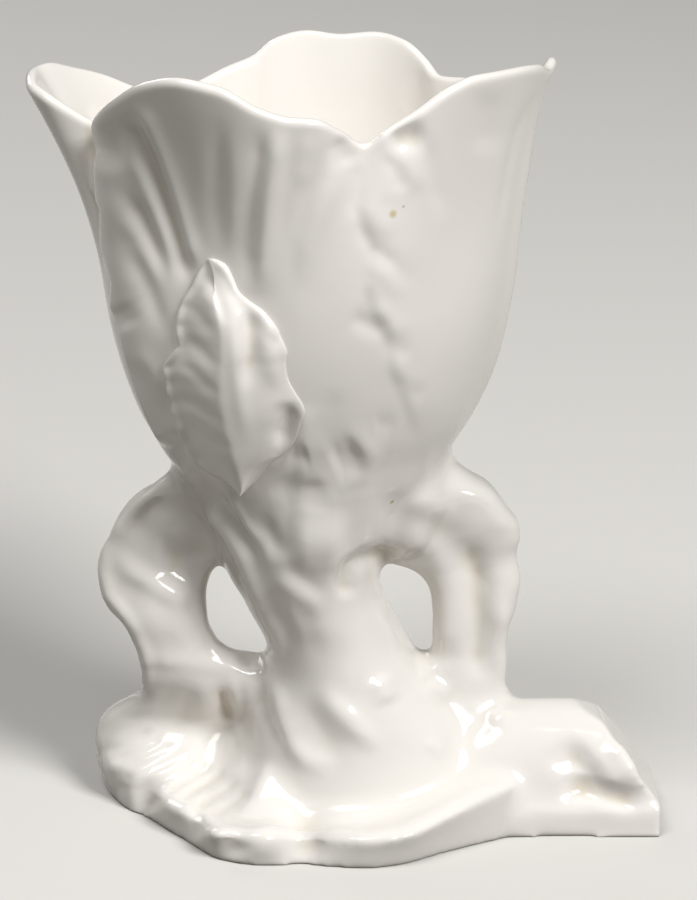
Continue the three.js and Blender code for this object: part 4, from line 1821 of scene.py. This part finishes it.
@dataclass(frozen=True)
class PalePaper:
    """Matt paper, pale to the eye and in reflections, whose light on the vase is weaker."""

    shown: str = "#D2D0CC"
    bounced: str = "#77746F"
    roughness: float = 0.5

    def make(self) -> bpy.types.Material:
        """Mixes the two colours by who looks.

        Returns:
            The material.
        """
        paper = bpy.data.materials.new("pale_paper")
        paper.use_nodes = True
        tree = paper.node_tree
        tree.nodes.clear()
        rays = add_node(tree, "ShaderNodeLightPath")
        looked_at = add_node(
            tree,
            "ShaderNodeMath",
            {"operation": "MAXIMUM"},
            {0: rays.outputs["Is Camera Ray"], 1: rays.outputs["Is Glossy Ray"]},
        )
        colour = add_node(
            tree,
            "ShaderNodeMix",
            {"data_type": "RGBA"},
            {"Factor": looked_at.outputs[0], "A": linear(self.bounced), "B": linear(self.shown)},
        )
        shader = add_node(
            tree,
            "ShaderNodeBsdfDiffuse",
            inputs={"Color": colour.outputs[2], "Roughness": self.roughness},
        )
        add_node(tree, "ShaderNodeOutputMaterial", inputs={"Surface": shader.outputs["BSDF"]})
        return paper


@dataclass(frozen=True)
class Studio:
    """The pale floor, the world behind it and the soft lights."""

    # From the floor's middle to its edge, in metres
    floor_reach: float = 4.0
    sky: str = "#F2F1EE"
    # The world's strength on the vase, and as the camera sees it
    sky_light: float = 0.15
    sky_shown: float = 0.82
    paper: PalePaper = PalePaper()
    lights: tuple[Softbox, ...] = LIGHTS

    def set_up(self) -> None:
        """Sets the scene up round the vase."""
        bpy.context.scene.view_settings.view_transform = "Standard"
        self.lay_floor()
        for light in self.lights:
            light.hang()
        self.make_world()

    def lay_floor(self) -> None:
        """Lays the floor."""
        clay = bmesh.new()
        bmesh.ops.create_grid(clay, x_segments=1, y_segments=1, size=self.floor_reach)
        floor = held(clay, "floor")
        floor.data.materials.append(self.paper.make())

    def make_world(self) -> None:
        """Makes the world."""
        world = bpy.data.worlds.new("studio")
        world.use_nodes = True
        tree = world.node_tree
        tree.nodes.clear()
        rays = add_node(tree, "ShaderNodeLightPath")
        strength = add_node(
            tree,
            "ShaderNodeMix",
            {"data_type": "FLOAT"},
            {"Factor": rays.outputs["Is Camera Ray"], "A": self.sky_light, "B": self.sky_shown},
        )
        sky = add_node(
            tree,
            "ShaderNodeBackground",
            inputs={"Color": linear(self.sky), "Strength": strength.outputs[0]},
        )
        add_node(tree, "ShaderNodeOutputWorld", inputs={"Surface": sky.outputs["Background"]})
        bpy.context.scene.world = world


def leaning_cut(foot: float, top: float) -> tuple[Vector, Vector]:
    """Finds a leaning luting face.

    Args:
        foot: Its x at the base's level.
        top: Its x at the cup's foot.

    Returns:
        A point of the plane and the plane's normal, which points to the right.
    """
    rise = CUP_FOOT - TRUNK_FOOT
    return Vector((foot, 0, TRUNK_FOOT)), Vector((rise, 0, foot - top)).normalized()


# The pieces that the bore runs through, apart from the cup, whose sheet has it
BORED = ("trunk", "leaf_base")


@dataclass
class ClayBody:
    """All the clay under the cup, worked as one and then parted."""

    # Edge length of the skin
    grain: float = 0.8
    # How often the skin is rubbed before it is worked and after, and how its creases are filled
    rubs_before: int = 3
    rubs_after: int = 2
    crease_rounds: int = 24
    crease_hollow: float = 0.015
    cup: FlowerCup = field(default_factory=FlowerCup)
    trunk: Trunk = field(default_factory=Trunk)
    base: LeafBase = field(default_factory=LeafBase)
    branch: CutBranch = field(default_factory=CutBranch)

    def build(self) -> BMesh:
        """Joins the blanks and works them.

        Returns:
            The worked clay, still in one.
        """
        blanks = (
            self.cup.bowl(),
            self.trunk.blank(),
            self.trunk.shoulder_blank(),
            LeafHandle(LEFT_EDGES).blank(),
            LeafHandle(RIGHT_EDGES).blank(),
            self.base.blank(),
            self.base.mound_blank(),
            self.branch.blank(),
        )
        clay = joined(blanks, self.grain)
        rub(clay, clay.verts[:], self.rubs_before)
        fill_creases(clay, clay.verts, self.crease_rounds, self.crease_hollow)
        work_all_round(clay)
        rub(clay, clay.verts[:], self.rubs_after)
        mark_hollows(clay)
        keep_skin(clay)
        return clay

    def pieces(self, clay: BMesh) -> dict[str, BMesh]:
        """Parts the clay at the construction's luting faces.

        Args:
            clay: The worked clay, which stays as it is.

        Returns:
            The pieces by the name of their construction node.
        """
        up, right = Vector((0, 0, 1)), Vector((1, 0, 0))
        foot = Vector((0, 0, TRUNK_FOOT))
        over_base, under_cup = (foot, -up), (Vector((0, 0, CUP_FOOT)), up)
        left_point, left_normal = leaning_cut(*LEFT_PARTING)
        right_point, right_normal = leaning_cut(*RIGHT_PARTING)
        joint, lean = leaning_cut(BRANCH_JOINT, BRANCH_JOINT + self.branch.joint_lean)
        cuts = {
            "trunk": (
                over_base, under_cup, (left_point, -left_normal), (right_point, right_normal)
            ),
            "left_handle": (over_base, under_cup, (left_point, left_normal)),
            "right_handle": (over_base, under_cup, (right_point, -right_normal), (joint, lean)),
            "leaf_base": ((foot, up), (joint, right)),
            "cut_branch": ((joint, -right), (joint, -lean)),
        }
        pieces = {}
        for node, planes in cuts.items():
            piece = clay.copy()
            for point, normal in planes:
                cut_away(piece, point, normal)
            pieces[node] = bored(piece, self.trunk.drill()) if node in BORED else piece
        return pieces


def main() -> None:
    """Builds the vase piece by piece and sets it in the studio."""
    logging.basicConfig(level=logging.INFO, format="%(name)s: %(message)s")
    camera()
    body = ClayBody()
    clay = body.build()
    LOG.info("clay under the cup: %d points", len(clay.verts))
    cup = body.cup.make(BVHTree.FromBMesh(clay))
    outside = BVHTree.FromBMesh(cup)
    spots = [seen(outside, speck.across, speck.down)[0] for speck in SPECKS]
    glaze = Glaze().make(zip(SPECKS, spots))
    for node, piece in body.pieces(clay).items():
        fire(piece, node, glaze)
    fire(AppliedLeaf().make(outside), "applied_leaf", glaze)
    fire(cup, "flower_cup", glaze)
    clay.free()
    Studio().set_up()


if __name__ == "__main__":
    main()
